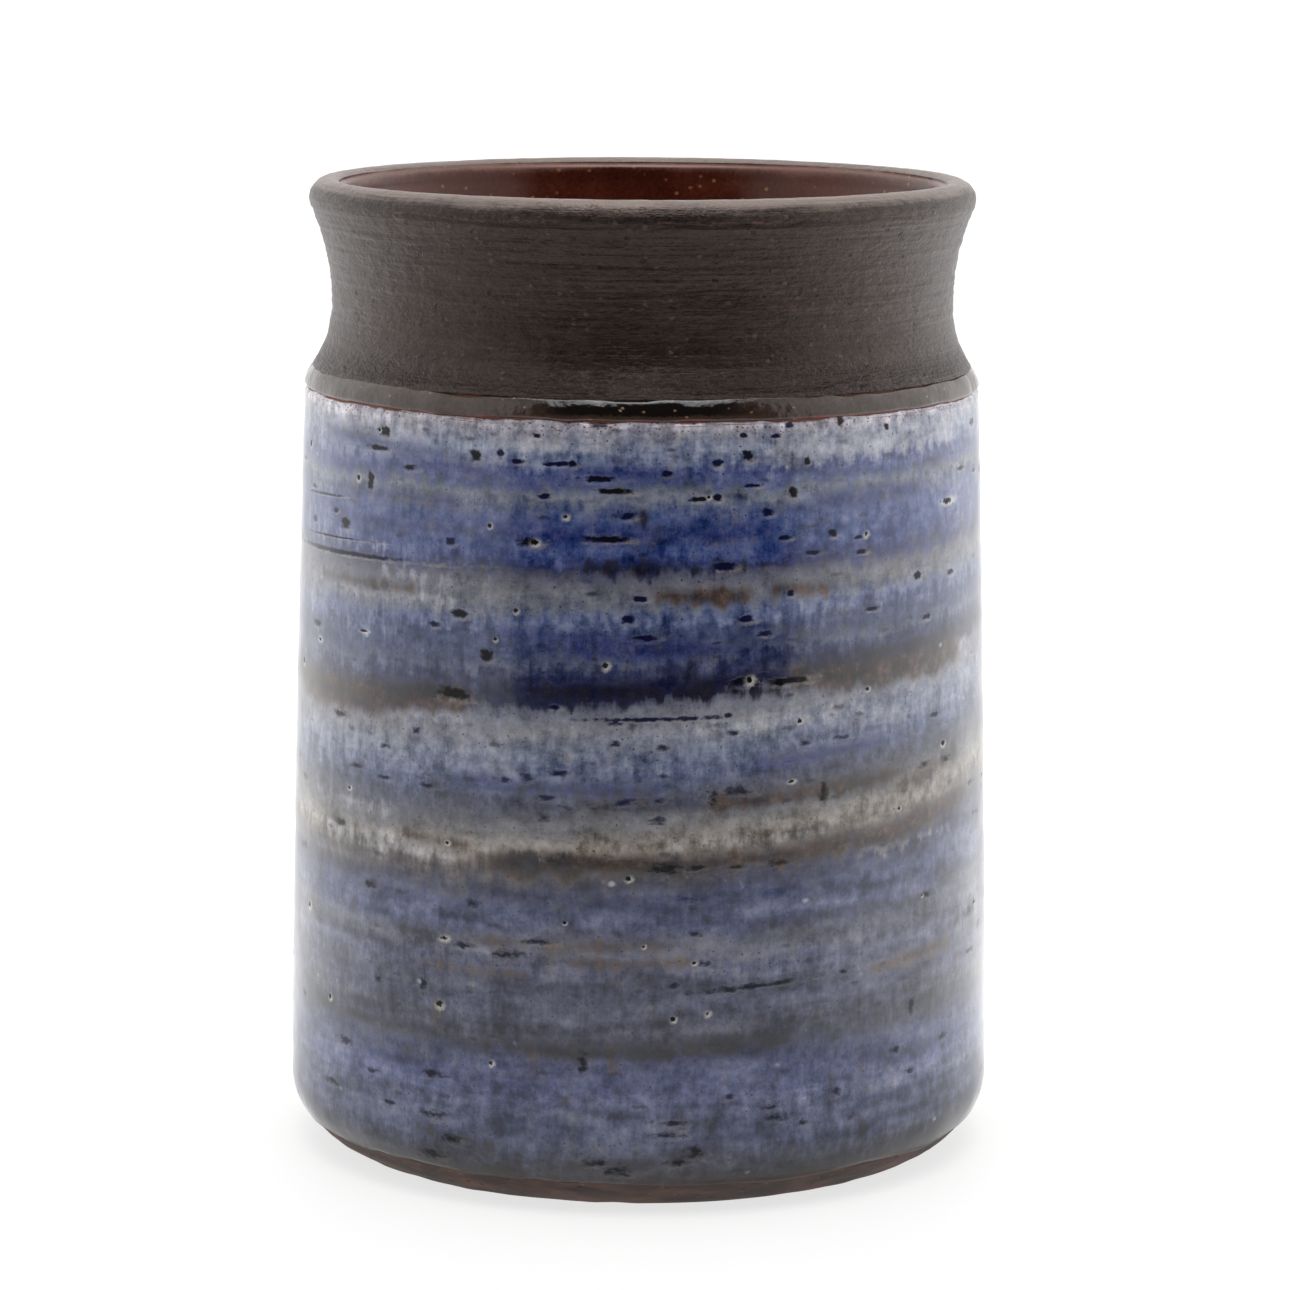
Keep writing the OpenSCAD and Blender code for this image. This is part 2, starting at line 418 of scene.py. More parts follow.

# %% [markdown]
# Iron spots, short brushed dashes and pinholes are listed one by one for the side that faces the viewer, as
# turn in degrees, height, half length and half width in millimetres, and a tone from 0, cobalt, to 1, iron
# black.
# The rest of the pot gets a scatter of the same kinds from a seeded generator. Each quad of the skin keeps the
# place of its corners relative to the nearest mark, in units of that mark's half sizes. A length of 1 in those
# units is then the mark's outline, as sharp as if it were drawn, however coarse the grid is.

# %% Spots, dashes and pinholes
dashes = [
    (-47, 95.5, 1.3, 0.7, 0.9), (-48.5, 93.4, 2.2, 0.4, 0.8), (-40.5, 91.5, 1.3, 0.4, 0.7),
    (-50, 89.2, 0.7, 1.3, 0.8), (-27.5, 93.7, 0.8, 0.9, 1.0), (-23, 94.2, 0.5, 0.8, 0.2),
    (-20, 93.3, 1.0, 0.35, 0.1), (-13.5, 93.2, 2.3, 0.35, 0.2), (-11, 93.2, 0.6, 0.5, 0.5),
    (-17, 96.5, 0.7, 0.35, 0.1), (-7, 98.0, 1.3, 0.35, 0.1), (-6.8, 91.5, 2.5, 0.45, 0.6),
    (-4.5, 90.0, 2.4, 0.4, 0.9), (-15.5, 89.2, 0.8, 0.4, 0.2), (-2, 87.1, 1.0, 0.45, 0.3),
    (-5.5, 84.2, 3.3, 0.45, 0.7), (-18.2, 83.6, 1.6, 0.6, 0.7), (-32, 83.0, 0.9, 0.5, 0.2),
    (-57, 83.3, 1.3, 0.8, 0.9), (-60.5, 84.6, 0.8, 0.35, 0.6), (-30, 74.2, 1.3, 0.6, 0.6),
    (-35, 72.6, 0.9, 0.4, 0.3), (-2, 74.5, 0.9, 0.6, 0.2), (0.8, 72.3, 1.6, 0.45, 0.3),
    (-25, 69.4, 1.0, 0.8, 1.0), (-31, 64.3, 2.5, 0.9, 1.0), (-13.5, 63.6, 0.8, 0.4, 0.2),
    (-3.8, 61.9, 0.9, 0.5, 0.1), (-3.8, 59.3, 0.8, 0.4, 0.1), (-12.8, 55.4, 1.3, 0.4, 0.1),
    (-17.8, 54.6, 0.7, 0.6, 0.1), (-21.2, 54.2, 0.7, 0.4, 0.1), (-14.8, 52.3, 1.0, 0.35, 0.1),
    (-15, 49.8, 0.8, 0.45, 0.3), (-2, 52.2, 1.4, 0.45, 0.2), (-52, 53.2, 1.5, 0.35, 0.3),
    (-44.8, 52.5, 1.1, 0.3, 0.4), (-35.5, 52.4, 1.3, 0.35, 0.4), (-38, 59.0, 0.6, 0.4, 0.2),
    (-45, 56.5, 0.9, 0.3, 0.3), (-57, 59.1, 1.6, 0.5, 0.6), (-57, 45.4, 1.6, 0.45, 0.8),
    (-48.3, 38.7, 1.2, 0.6, 0.7), (-27, 38.3, 1.3, 0.5, 0.5), (-29, 33.0, 1.2, 0.4, 0.5),
    (-21, 32.4, 1.9, 0.6, 0.7), (-16, 34.4, 1.9, 0.35, 0.5), (-54, 17.6, 1.4, 0.5, 0.5),
    (-34, 16.2, 1.8, 0.45, 0.6), (-34, 11.0, 1.9, 0.55, 0.9), (-30.5, 8.4, 1.6, 0.7, 0.9),
    (-34.5, 5.8, 2.0, 0.6, 0.9), (-6.5, 6.9, 1.5, 0.5, 0.9), (-3, 5.9, 1.6, 0.7, 0.9),
    (-59, 11.6, 1.6, 0.45, 0.6), (-47, 14.8, 1.2, 0.35, 0.5), (-43, 11.3, 1.2, 0.3, 0.5),
    (-8.5, 19.5, 0.6, 1.4, 0.7), (-36, 27.5, 0.6, 1.0, 0.5), (-46, 26.8, 0.8, 0.6, 0.4),
    (16.5, 96.7, 0.6, 0.35, 0.1), (22, 96.5, 0.9, 0.35, 0.1), (24.5, 97.7, 0.7, 0.35, 0.3),
    (34, 97.8, 0.6, 0.7, 0.8), (44, 96.7, 0.5, 0.5, 0.4), (17.5, 94.2, 1.2, 0.65, 0.6),
    (12.2, 93.4, 0.8, 0.5, 0.4), (27.5, 93.2, 0.5, 0.5, 0.8), (4.2, 92.2, 0.7, 0.45, 0.3),
    (18, 90.6, 1.1, 0.3, 0.1), (9, 89.1, 1.3, 0.4, 0.7), (12.2, 89.2, 0.6, 0.5, 0.6),
    (25, 89.6, 0.7, 0.8, 0.9), (20.5, 87.3, 0.8, 0.5, 0.1), (23.5, 84.0, 0.9, 0.35, 0.1),
    (32.3, 84.2, 0.7, 0.5, 0.5), (28.5, 82.0, 1.2, 0.3, 0.3), (37.5, 83.4, 0.8, 0.3, 0.5),
    (38, 81.6, 1.1, 0.35, 0.4), (13.3, 80.9, 1.6, 0.5, 0.3), (0, 77.0, 1.0, 0.35, 0.3),
    (24.5, 77.3, 0.6, 0.5, 0.3), (16.8, 74.4, 1.3, 0.5, 0.1), (20, 72.5, 1.1, 0.4, 0.2),
    (51.2, 77.6, 0.8, 0.6, 0.7), (53.5, 72.2, 1.2, 0.4, 0.4), (40, 74.3, 1.2, 0.3, 0.3),
    (62, 77.0, 1.0, 0.4, 0.6), (16.5, 66.8, 1.7, 0.6, 0.6), (24, 66.5, 2.7, 0.45, 0.8),
    (14, 62.6, 0.7, 0.45, 0.1), (15, 60.4, 0.9, 0.3, 0.2), (3.5, 58.8, 0.8, 0.4, 0.1),
    (27, 58.6, 0.8, 0.3, 0.2), (33.5, 58.9, 1.1, 0.3, 0.2), (56, 59.6, 1.0, 0.35, 0.4),
    (15.5, 53.3, 1.6, 0.6, 0.5), (11.7, 52.6, 0.6, 1.1, 0.7), (3, 52.3, 0.6, 0.4, 0.2),
    (2.8, 49.8, 0.9, 0.5, 0.4), (30.3, 52.3, 0.7, 1.5, 0.8), (52.5, 53.6, 1.2, 0.4, 0.6),
    (59.5, 53.6, 1.2, 0.4, 0.6), (4, 43.9, 1.7, 0.8, 1.0), (8.5, 44.0, 1.1, 0.35, 1.0),
    (15.5, 43.9, 1.0, 0.35, 1.0), (22.2, 44.0, 1.3, 0.45, 1.0), (53, 37.0, 1.5, 0.4, 0.8),
    (8.8, 35.8, 1.0, 0.4, 0.3), (10, 32.0, 0.9, 0.35, 0.4), (5.5, 29.4, 0.6, 0.35, 0.5),
    (14.2, 15.2, 0.8, 0.4, 0.4), (21.5, 13.5, 1.3, 0.4, 0.5), (22, 12.0, 1.7, 0.45, 0.6),
    (5, 12.0, 1.6, 0.35, 0.5), (4.5, 10.5, 1.9, 0.4, 0.6), (9, 8.3, 1.2, 0.7, 1.0),
    (26.8, 11.0, 0.7, 0.4, 0.6), (32.5, 14.3, 0.8, 0.5, 0.5), (35.5, 10.8, 0.7, 0.45, 0.6),
    (6, 7.0, 1.5, 0.4, 0.9), (58, 18.0, 1.0, 0.4, 0.7), (45, 18.2, 0.8, 0.4, 0.5),
    (49, 23.5, 0.7, 1.4, 0.4), (34, 29.5, 0.6, 0.4, 0.5), (48.5, 15.0, 0.9, 0.4, 0.4),
]
pinholes = [
    (-53.5, 89.3, 0.5, 0.5), (-24.8, 85.3, 0.4, 0.4), (-12, 86.8, 0.45, 0.4), (-17, 83.6, 0.6, 0.45),
    (-20, 75.1, 0.35, 0.35), (-51, 70.3, 1.0, 0.25), (-23.5, 71.4, 0.3, 0.3), (-5.4, 68.8, 0.5, 0.5),
    (10.8, 89.3, 0.35, 0.35), (39, 83.7, 0.45, 0.4), (17.5, 66.9, 0.6, 0.6), (39, 64.5, 0.4, 0.35),
    (26, 61.4, 0.45, 0.4), (61, 86.2, 2.2, 0.5), (24.5, 54.0, 0.6, 0.3), (58.5, 55.6, 0.6, 0.45),
    (-54.2, 50.1, 0.5, 0.3), (-31.8, 45.6, 0.45, 0.3), (-1.6, 42.6, 0.45, 0.4), (-32.2, 33.6, 0.8, 0.4),
    (-33, 25.2, 0.6, 0.6), (-59.8, 22.4, 0.5, 0.45), (-23.5, 18.6, 0.4, 0.4), (5.4, 25.1, 0.4, 0.4),
    (10.8, 25.7, 0.4, 0.4), (8.6, 32.1, 0.4, 0.3), (-66, 67.7, 0.8, 0.4), (-11.6, 36.9, 0.3, 0.25),
    (46, 48.8, 0.35, 0.3), (0.8, 34.2, 0.3, 0.3), (-48, 95.6, 0.3, 0.3), (52, 37.0, 0.3, 0.25),
]
lines = [
    (-60, 79.5, 16.0, 0.34, 0.35, 0.03), (-62, 81.2, 9.0, 0.15, 0.2, 0.04), (3, 62.3, 8.8, 0.3, 0.2, 0.02),
    (18, 28.8, 6.5, 0.3, 0.6, 0.06), (-66, 86.2, 6.0, 0.2, 0.2, 0.05), (24, 66.5, 3.0, 0.5, 0.9, 0.1),
]
print("laid by hand: %d dashes, %d pinholes, %d lines" % (len(dashes), len(pinholes), len(lines)))

# %% The scatter on the rest of the pot
HAND_LAID_TO = 66
BACK_DASHES, BACK_PINHOLES = 150, 40
back_count = BACK_DASHES + BACK_PINHOLES
scatter = np.random.default_rng(31)
back_turn = scatter.uniform(HAND_LAID_TO, 360 - HAND_LAID_TO, back_count)
back_height = scatter.uniform(6, 97, back_count)
back_long = scatter.uniform(0.5, 1.9, back_count)
back_wide = scatter.uniform(0.3, 0.65, back_count)
back_tone = scatter.uniform(0.0, 1.0, back_count)
back = np.stack([back_turn, back_height, back_long, back_wide, back_tone, 0 * back_tone], axis=1)
level_dashes = np.pad(np.array(dashes), ((0, 0), (0, 1)))
dashes = np.vstack([level_dashes, back[:BACK_DASHES], lines])
holes = back[BACK_DASHES:].copy()
holes[:, 2], holes[:, 4] = holes[:, 3], 0.0
pinholes = np.vstack([np.pad(np.array(pinholes), ((0, 0), (0, 2))), holes])
print("dashes and spots:", len(dashes), " pinholes:", len(pinholes))

# %% The nearest mark
def nearest_mark(turn, height, marks):
    """For each corner, its place relative to the mark nearest to its face, in half lengths and half widths.

    turn and height hold the four corners of every face. Place along: the turn from the mark, wrapped to half
    a turn either way, times the radius. Place up: the height less the mark's slope times the place along."""
    face_turn, face_height = turn.mean(axis=1, keepdims=True), height.mean(axis=1, keepdims=True)
    away = (face_turn - marks[:, 0] * DEG + math.pi) % (2 * math.pi) - math.pi
    along = away * REF_R / MM
    up = face_height / MM - marks[:, 1] - marks[:, 5] * along
    chosen = marks[np.argmin((along / marks[:, 2]) ** 2 + (up / marks[:, 3]) ** 2, axis=1)][:, None, :]
    away = (turn - chosen[..., 0] * DEG + math.pi) % (2 * math.pi) - math.pi
    along = away * REF_R / MM
    up = height / MM - chosen[..., 1] - chosen[..., 5] * along
    tone = np.broadcast_to(chosen[..., 4], turn.shape)
    return np.stack([along / chosen[..., 2], up / chosen[..., 3], tone], axis=-1).reshape(-1, 3)


first_middle = [np.full((1, 4), value) for value in (dashes[0, 0] * DEG, dashes[0, 1] * MM)]
print("the middle of the first dash reads along %.2f, up %.2f, tone %.1f"
      % tuple(nearest_mark(*first_middle, dashes)[0]))

# %% [markdown]
# Iron smears and pale runs are broader and softer. Each is a straight brush stroke from one place to another
# with a half width. How deep a point lies inside a stroke is the half width less its distance to the middle
# line; the greatest depth over all strokes of one kind is kept on the points, in millimetres, and the finish
# adds noise to it before it decides what is inside.

# %% Iron smears, dark smears and pale runs
smears = {
    "iron": [
        (-72, 61.6, -46, 62.2, 2.1), (-46, 62.4, -30, 63.8, 1.6), (27, 66.6, 40, 66.3, 1.7),
        (40, 66.3, 62, 67.2, 2.1), (-22, 43.9, -10, 43.7, 1.7), (-10, 44.1, 24, 44.7, 1.0),
        (24, 44.9, 44, 46.0, 1.1), (44, 46.0, 66, 48.3, 1.3), (-64, 76.3, -40, 76.5, 0.5),
        (4, 77.4, 16, 77.0, 1.1), (22, 77.8, 32, 77.4, 0.7), (12, 51.6, 46, 53.4, 0.9),
        (46, 51.6, 62, 54.0, 1.0), (-40, 46.0, -28, 45.4, 0.7), (-36, 30.2, -18, 30.0, 0.5),
        (-10, 31.8, 8, 32.2, 0.6), (-26, 33.8, 4, 34.2, 0.5), (40, 29.0, 60, 30.0, 0.6),
        (110, 66.0, 160, 64.0, 1.4), (170, 62.0, 215, 61.0, 1.5), (100, 46.0, 150, 47.5, 1.3),
        (165, 47.0, 225, 44.0, 1.5), (-33, 24.8, -33, 21.6, 0.45), (-16.5, 20.6, -16.4, 17.2, 0.6),
        (-4, 21.0, -4, 18.0, 0.5), (-53.8, 89.0, -53.8, 86.0, 0.4), (235, 76.0, 265, 76.0, 1.0),
        (120, 78.0, 175, 79.0, 0.9),
    ],
    "dark": [
        (-8, 80.7, 9, 80.6, 0.7), (12, 80.8, 16, 80.8, 0.6), (-18, 65.4, 22, 65.6, 0.8),
        (-20, 44.3, -12, 44.0, 1.2), (3, 43.8, 10, 44.0, 0.9), (-24, 20.8, 6, 20.9, 0.75),
        (6, 21.3, 24, 21.6, 0.55), (-36, 9.0, -24, 8.2, 0.8),
        (-64, 61.8, -50, 62.6, 0.8), (-44, 63.4, -34, 64.2, 1.0), (28, 66.7, 34, 66.4, 0.6),
        (6, 7.4, 12, 8.4, 0.7), (-10, 6.2, 2, 6.6, 0.7), (-4, 87.2, 2, 87.0, 0.5), (38, 68.3, 60, 68.9, 0.8),
        (130, 21.0, 200, 21.0, 1.0), (180, 81.0, 210, 81.0, 0.7), (140, 65.5, 165, 64.0, 0.7),
    ],
    "cobalt": [
        (-64, 94.4, -34, 93.8, 1.1), (-60, 87.6, -32, 87.8, 0.9), (-30, 90.6, -14, 90.6, 0.8),
        (-62, 90.6, -44, 91.0, 1.2), (-44, 93.0, -26, 92.0, 0.9), (-26, 84.6, 20, 84.8, 1.6),
        (-12, 92.6, 4, 92.4, 0.8), (-10, 71.2, 8, 70.6, 1.8), (-22, 72.4, -12, 71.6, 0.9),
        (10, 70.6, 18, 70.8, 0.9), (24, 81.2, 60, 81.8, 1.3), (30, 88.4, 52, 88.6, 1.3),
        (-30, 53.6, 2, 53.4, 0.9), (20, 56.4, 42, 57.8, 0.9), (-60, 84.0, -30, 84.6, 1.2),
        (150, 84.0, 220, 85.0, 1.6), (160, 71.0, 200, 70.0, 1.4), (240, 90.0, 270, 91.0, 1.2),
        (100, 88.0, 130, 88.0, 1.0),
    ],
    "pale": [
        (22, 94.4, 62, 95.2, 2.1), (-60, 44.4, -32, 44.2, 1.3), (-60, 75.6, -30, 75.6, 0.8),
        (-36, 95.6, -6, 95.2, 0.8),
        (43, 64.2, 43.6, 66.6, 0.45), (46.4, 64.4, 46.6, 66.2, 0.35), (50, 64.2, 51.4, 67.3, 0.7),
        (53.6, 64.2, 53.4, 66.3, 0.5), (57, 65.0, 57.6, 67.2, 0.45), (62, 66.0, 68, 67.8, 0.9),
        (-72, 80.9, -46, 81.3, 0.45), (10, 60.6, 40, 62.4, 0.8), (38, 44.4, 60, 44.8, 0.6),
        (6, 46.8, 30, 47.6, 0.6), (-64, 48.4, -44, 48.6, 0.8), (-46, 78.0, -26, 78.2, 0.7),
        (-60, 60.0, -30, 61.6, 0.8), (100, 63.0, 150, 61.0, 0.9), (180, 58.0, 240, 58.5, 0.9),
    ],
}


def depth_in(strokes, turn, height):
    """Depth in mm inside the nearest stroke: half width less the distance to the line between its two ends."""
    deepest = np.full(turn.shape, -9.0)
    for turn0, height0, turn1, height1, half in strokes:
        middle = (turn0 + turn1) / 2 * DEG
        across = ((turn - middle + math.pi) % (2 * math.pi) - math.pi) * REF_R / MM
        reach = (turn1 - turn0) / 2 * DEG * REF_R / MM
        climb = height1 - height0
        share = (across + reach) * 2 * reach + (height / MM - height0) * climb
        share = np.clip(share / (4 * reach**2 + climb**2), 0, 1)
        gap = np.hypot(across + reach - 2 * reach * share, height / MM - height0 - climb * share)
        deepest = np.maximum(deepest, half - gap)
    return deepest


print("smears:", {kind: len(strokes) for kind, strokes in smears.items()})

# %% [markdown]
# ## Materials from nodes
# Every finish is one Principled shader fed by noise. Noise reads the object's own coordinates, stretched up
# the pot for runs and round the pot for brushed layers, so it needs no seam. Bump heights are in metres.

# %% Colours
def srgb(red, green, blue):
    """A display colour, 0 to 255, as scene-linear values: ((c + 0.055) / 1.055)^2.4 above the short toe."""
    share = [c / 255 for c in (red, green, blue)]
    return tuple(c / 12.92 if c <= 0.04045 else ((c + 0.055) / 1.055) ** 2.4 for c in share) + (1.0,)


print("mid grey as scene-linear: %.3f" % srgb(128, 128, 128)[0])

# %% A helper for writing node trees
class Nodes:
    """A node tree under construction, with a short call for each kind of node that the looks share."""

    def __init__(self, tree):
        self.tree = tree

    def add(self, kind, **settings):
        """A new node of a kind, with its settings."""
        node = self.tree.nodes.new(kind)
        for key, value in settings.items():
            setattr(node, key, value)
        return node

    def feed(self, source, socket):
        """Joins another node's output to a socket, or gives the socket a plain value."""
        if isinstance(source, bpy.types.NodeSocket):
            self.tree.links.new(source, socket)
        else:
            socket.default_value = source

    def math(self, operation, a, b=0.0, c=0.0):
        """One sum on up to three values: the operation is named as in the shader editor."""
        node = self.add("ShaderNodeMath", operation=operation)
        for value, socket in zip((a, b, c), node.inputs):
            self.feed(value, socket)
        return node.outputs[0]

    def times(self, a, b):
        """The product a * b."""
        return self.math("MULTIPLY", a, b)

    def length(self, a, b):
        """The length of the arrow (a, b): the square root of a^2 + b^2."""
        return self.math("SQRT", self.math("ADD", self.times(a, a), self.times(b, b)))

    def step(self, value, low, high, start=0.0, end=1.0):
        """A smooth step of value from start at low to end at high."""
        node = self.add("ShaderNodeMapRange", interpolation_type="SMOOTHSTEP")
        for socket, given in zip(node.inputs, (value, low, high, start, end)):
            self.feed(given, socket)
        return node.outputs[0]

    def apart(self, vector):
        """The three parts of a vector or a colour."""
        node = self.add("ShaderNodeSeparateXYZ")
        self.feed(vector, node.inputs[0])
        return tuple(node.outputs)

    def total(self, *terms):
        """The sum of value * weight over the terms, each a (value, weight) pair."""
        result = 0.0
        for value, weight in terms:
            result = self.math("MULTIPLY_ADD", value, weight, result)
        return result


print("node helper ready")

# %% A helper for writing finishes
class Finish(Nodes):
    """A material under construction: noise, spots, bands and bumps that feed one Principled shader."""

    def __init__(self, name):
        self.material = bpy.data.materials.new(name)
        self.material.use_nodes = True
        super().__init__(self.material.node_tree)
        self.shader = self.tree.nodes["Principled BSDF"]
        self.place = self.add("ShaderNodeTexCoord").outputs["Object"]
        self.side, self.back, rise = self.apart(self.place)
        self.height = self.times(rise, 1 / MM)

    def scaled(self, across, up, shift):
        """The place on the object in cells of across by up mm, moved by shift cells."""
        node = self.add("ShaderNodeVectorMath", operation="MULTIPLY_ADD")
        self.feed(self.place, node.inputs[0])
        node.inputs[1].default_value = (1 / (across * MM), 1 / (across * MM), 1 / (up * MM))
        node.inputs[2].default_value = shift
        return node.outputs[0]

    def noise(self, across, up, detail=2.0, shift=0.0, rough=0.5):
        """Noise of about -1 to 1 with features across wide and up high, in mm: 3 * (noise - 0.5)."""
        node = self.add("ShaderNodeTexNoise")
        self.feed(self.scaled(across, up, (shift, 2 * shift, 3 * shift)), node.inputs["Vector"])
        for key, value in (("Scale", 1.0), ("Detail", detail), ("Roughness", rough)):
            node.inputs[key].default_value = value
        return self.math("MULTIPLY_ADD", node.outputs[0], 3.0, -1.5)

    def spots(self, across, up, shift, radius, soft, share, wobble=None):
        """A mask of scattered spots, one to a cell across by up mm: full inside radius - soft, gone at radius.

        Only the given share of the cells carries a spot, chosen by each cell's own random colour."""
        node = self.add("ShaderNodeTexVoronoi")
        self.feed(self.scaled(across, up, (shift, shift, shift)), node.inputs["Vector"])
        node.inputs["Scale"].default_value = 1.0
        chance = self.apart(node.outputs["Color"])[0]
        reach = node.outputs["Distance"]
        if wobble is not None:
            reach = self.math("MULTIPLY_ADD", wobble, 0.5 * radius, reach)
        inside = self.step(reach, radius - soft, radius, 1.0, 0.0)
        return self.times(inside, self.math("LESS_THAN", chance, share))

    def mix(self, share, under, over):
        """A colour that share of the way from under to over."""
        node = self.add("ShaderNodeMix", data_type="RGBA", blend_type="MIX")
        self.feed(share, node.inputs[0])
        self.feed(under, node.inputs[6])
        self.feed(over, node.inputs[7])
        return node.outputs[2]

    def lay(self, colour, mask, red_green_blue, strength=None):
        """A new colour laid over another where a mask is, at a share of full strength if one is given."""
        share = mask if strength is None else self.times(mask, strength)
        return self.mix(share, colour, srgb(*red_green_blue))

    def shade(self, colour, factor):
        """The colour times a factor, the same in red, green and blue."""
        node = self.add("ShaderNodeVectorMath", operation="SCALE")
        self.feed(colour, node.inputs[0])
        self.feed(factor, node.inputs["Scale"])
        return node.outputs[0]

    def vary(self, colour, amount, lift, fade):
        """The colour made lighter and greyer where amount is above 0, darker and purer where it is below."""
        node = self.add("ShaderNodeHueSaturation")
        for name, change, least in (("Saturation", -fade, 0.3), ("Value", lift, 0.25)):
            share = self.math("MAXIMUM", self.math("MULTIPLY_ADD", amount, change, 1.0), least)
            self.feed(share, node.inputs[name])
        self.feed(colour, node.inputs["Color"])
        return node.outputs[0]

    def attribute(self, name):
        """The three numbers that the skin keeps under a name."""
        return self.apart(self.add("ShaderNodeAttribute", attribute_name=name).outputs["Vector"])

    def bands(self, height, stops):
        """Colour by height from (height, colour) stops; a ramp holds 32 stops, so long lists use several."""
        stops = sorted(stops)
        result = None
        for first in range(0, len(stops) - 1, 30):
            part = stops[first:first + 31]
            low, high = part[0][0], part[-1][0]
            node = self.add("ShaderNodeValToRGB")
            ramp = node.color_ramp
            ramp.interpolation = "LINEAR"
            for count, (at, colour) in enumerate(part):
                element = ramp.elements[count] if count < 2 else ramp.elements.new(1.0)
                element.position = (at - low) / (high - low)
                element.color = srgb(*colour)
            share = self.math("DIVIDE", self.math("SUBTRACT", height, low), high - low)
            self.feed(share, node.inputs[0])
            above = self.math("GREATER_THAN", height, low)
            result = node.outputs[0] if result is None else self.mix(above, result, node.outputs[0])
        return result

    def bump(self, height):
        """Bends the surface normal by a height in metres."""
        node = self.add("ShaderNodeBump")
        node.inputs["Strength"].default_value = 1.0
        node.inputs["Distance"].default_value = 1.0
        self.feed(height, node.inputs["Height"])
        self.feed(node.outputs[0], self.shader.inputs["Normal"])

    def set(self, **sockets):
        """Feeds the shader's sockets, named with _ for a space, and gives back the material."""
        for name, value in sockets.items():
            self.feed(value, self.shader.inputs[name.replace("_", " ")])
        return self.material


print("finish helper ready")

# %% [markdown]
# ## The blue glaze
# Cobalt and a pale opaque glaze were brushed on in turn while the pot spun, then ran a little in the kiln. The
# finish is a list of colours up the pot, read at the band height plus noise: tall noise for the runs and flat
# noise for the brush. Smears, dashes and pinholes go on top, and the edges burn to rust where the coat is thin.

# %% Colours up the pot
glaze_bands = [
    (98.6, (156, 152, 160)), (97.0, (120, 120, 130)), (95.0, (104, 110, 128)), (93.2, (80, 88, 114)),
    (92.2, (54, 62, 100)), (90.8, (60, 68, 100)), (89.6, (90, 94, 104)), (88.3, (70, 76, 98)),
    (86.5, (58, 69, 106)), (84.0, (53, 66, 104)), (82.0, (44, 54, 96)), (80.6, (36, 43, 74)),
    (79.6, (70, 71, 86)), (78.0, (88, 88, 96)), (76.0, (88, 91, 102)), (74.6, (78, 86, 114)),
    (73.0, (50, 59, 88)), (71.0, (46, 54, 82)), (69.5, (64, 70, 90)), (68.4, (41, 46, 74)),
    (66.5, (24, 27, 50)), (64.8, (25, 27, 50)), (63.9, (84, 86, 98)), (61.5, (104, 104, 112)),
    (59.0, (98, 103, 118)), (57.0, (90, 96, 116)), (55.0, (68, 75, 100)), (53.0, (62, 65, 82)),
    (51.0, (66, 67, 78)), (49.0, (92, 91, 94)), (47.0, (116, 111, 106)), (45.4, (94, 87, 82)),
    (43.6, (70, 66, 68)), (42.0, (50, 51, 66)), (40.0, (54, 58, 82)), (38.0, (66, 72, 98)),
    (36.0, (60, 64, 88)), (34.5, (72, 74, 86)), (33.0, (78, 79, 92)), (31.0, (72, 75, 96)),
    (29.0, (60, 62, 78)), (27.0, (66, 69, 88)), (25.0, (64, 66, 82)), (23.0, (50, 52, 66)),
    (21.5, (44, 46, 58)), (20.0, (56, 60, 84)), (17.5, (60, 66, 96)), (15.5, (72, 77, 106)),
    (13.5, (68, 73, 96)), (11.5, (60, 65, 88)), (9.0, (58, 62, 84)), (7.0, (46, 48, 60)),
    (5.0, (38, 38, 47)), (3.0, (36, 33, 36)),
]
GLAZE_LIFT = 1.45
print("colour stops up the pot:", len(glaze_bands))

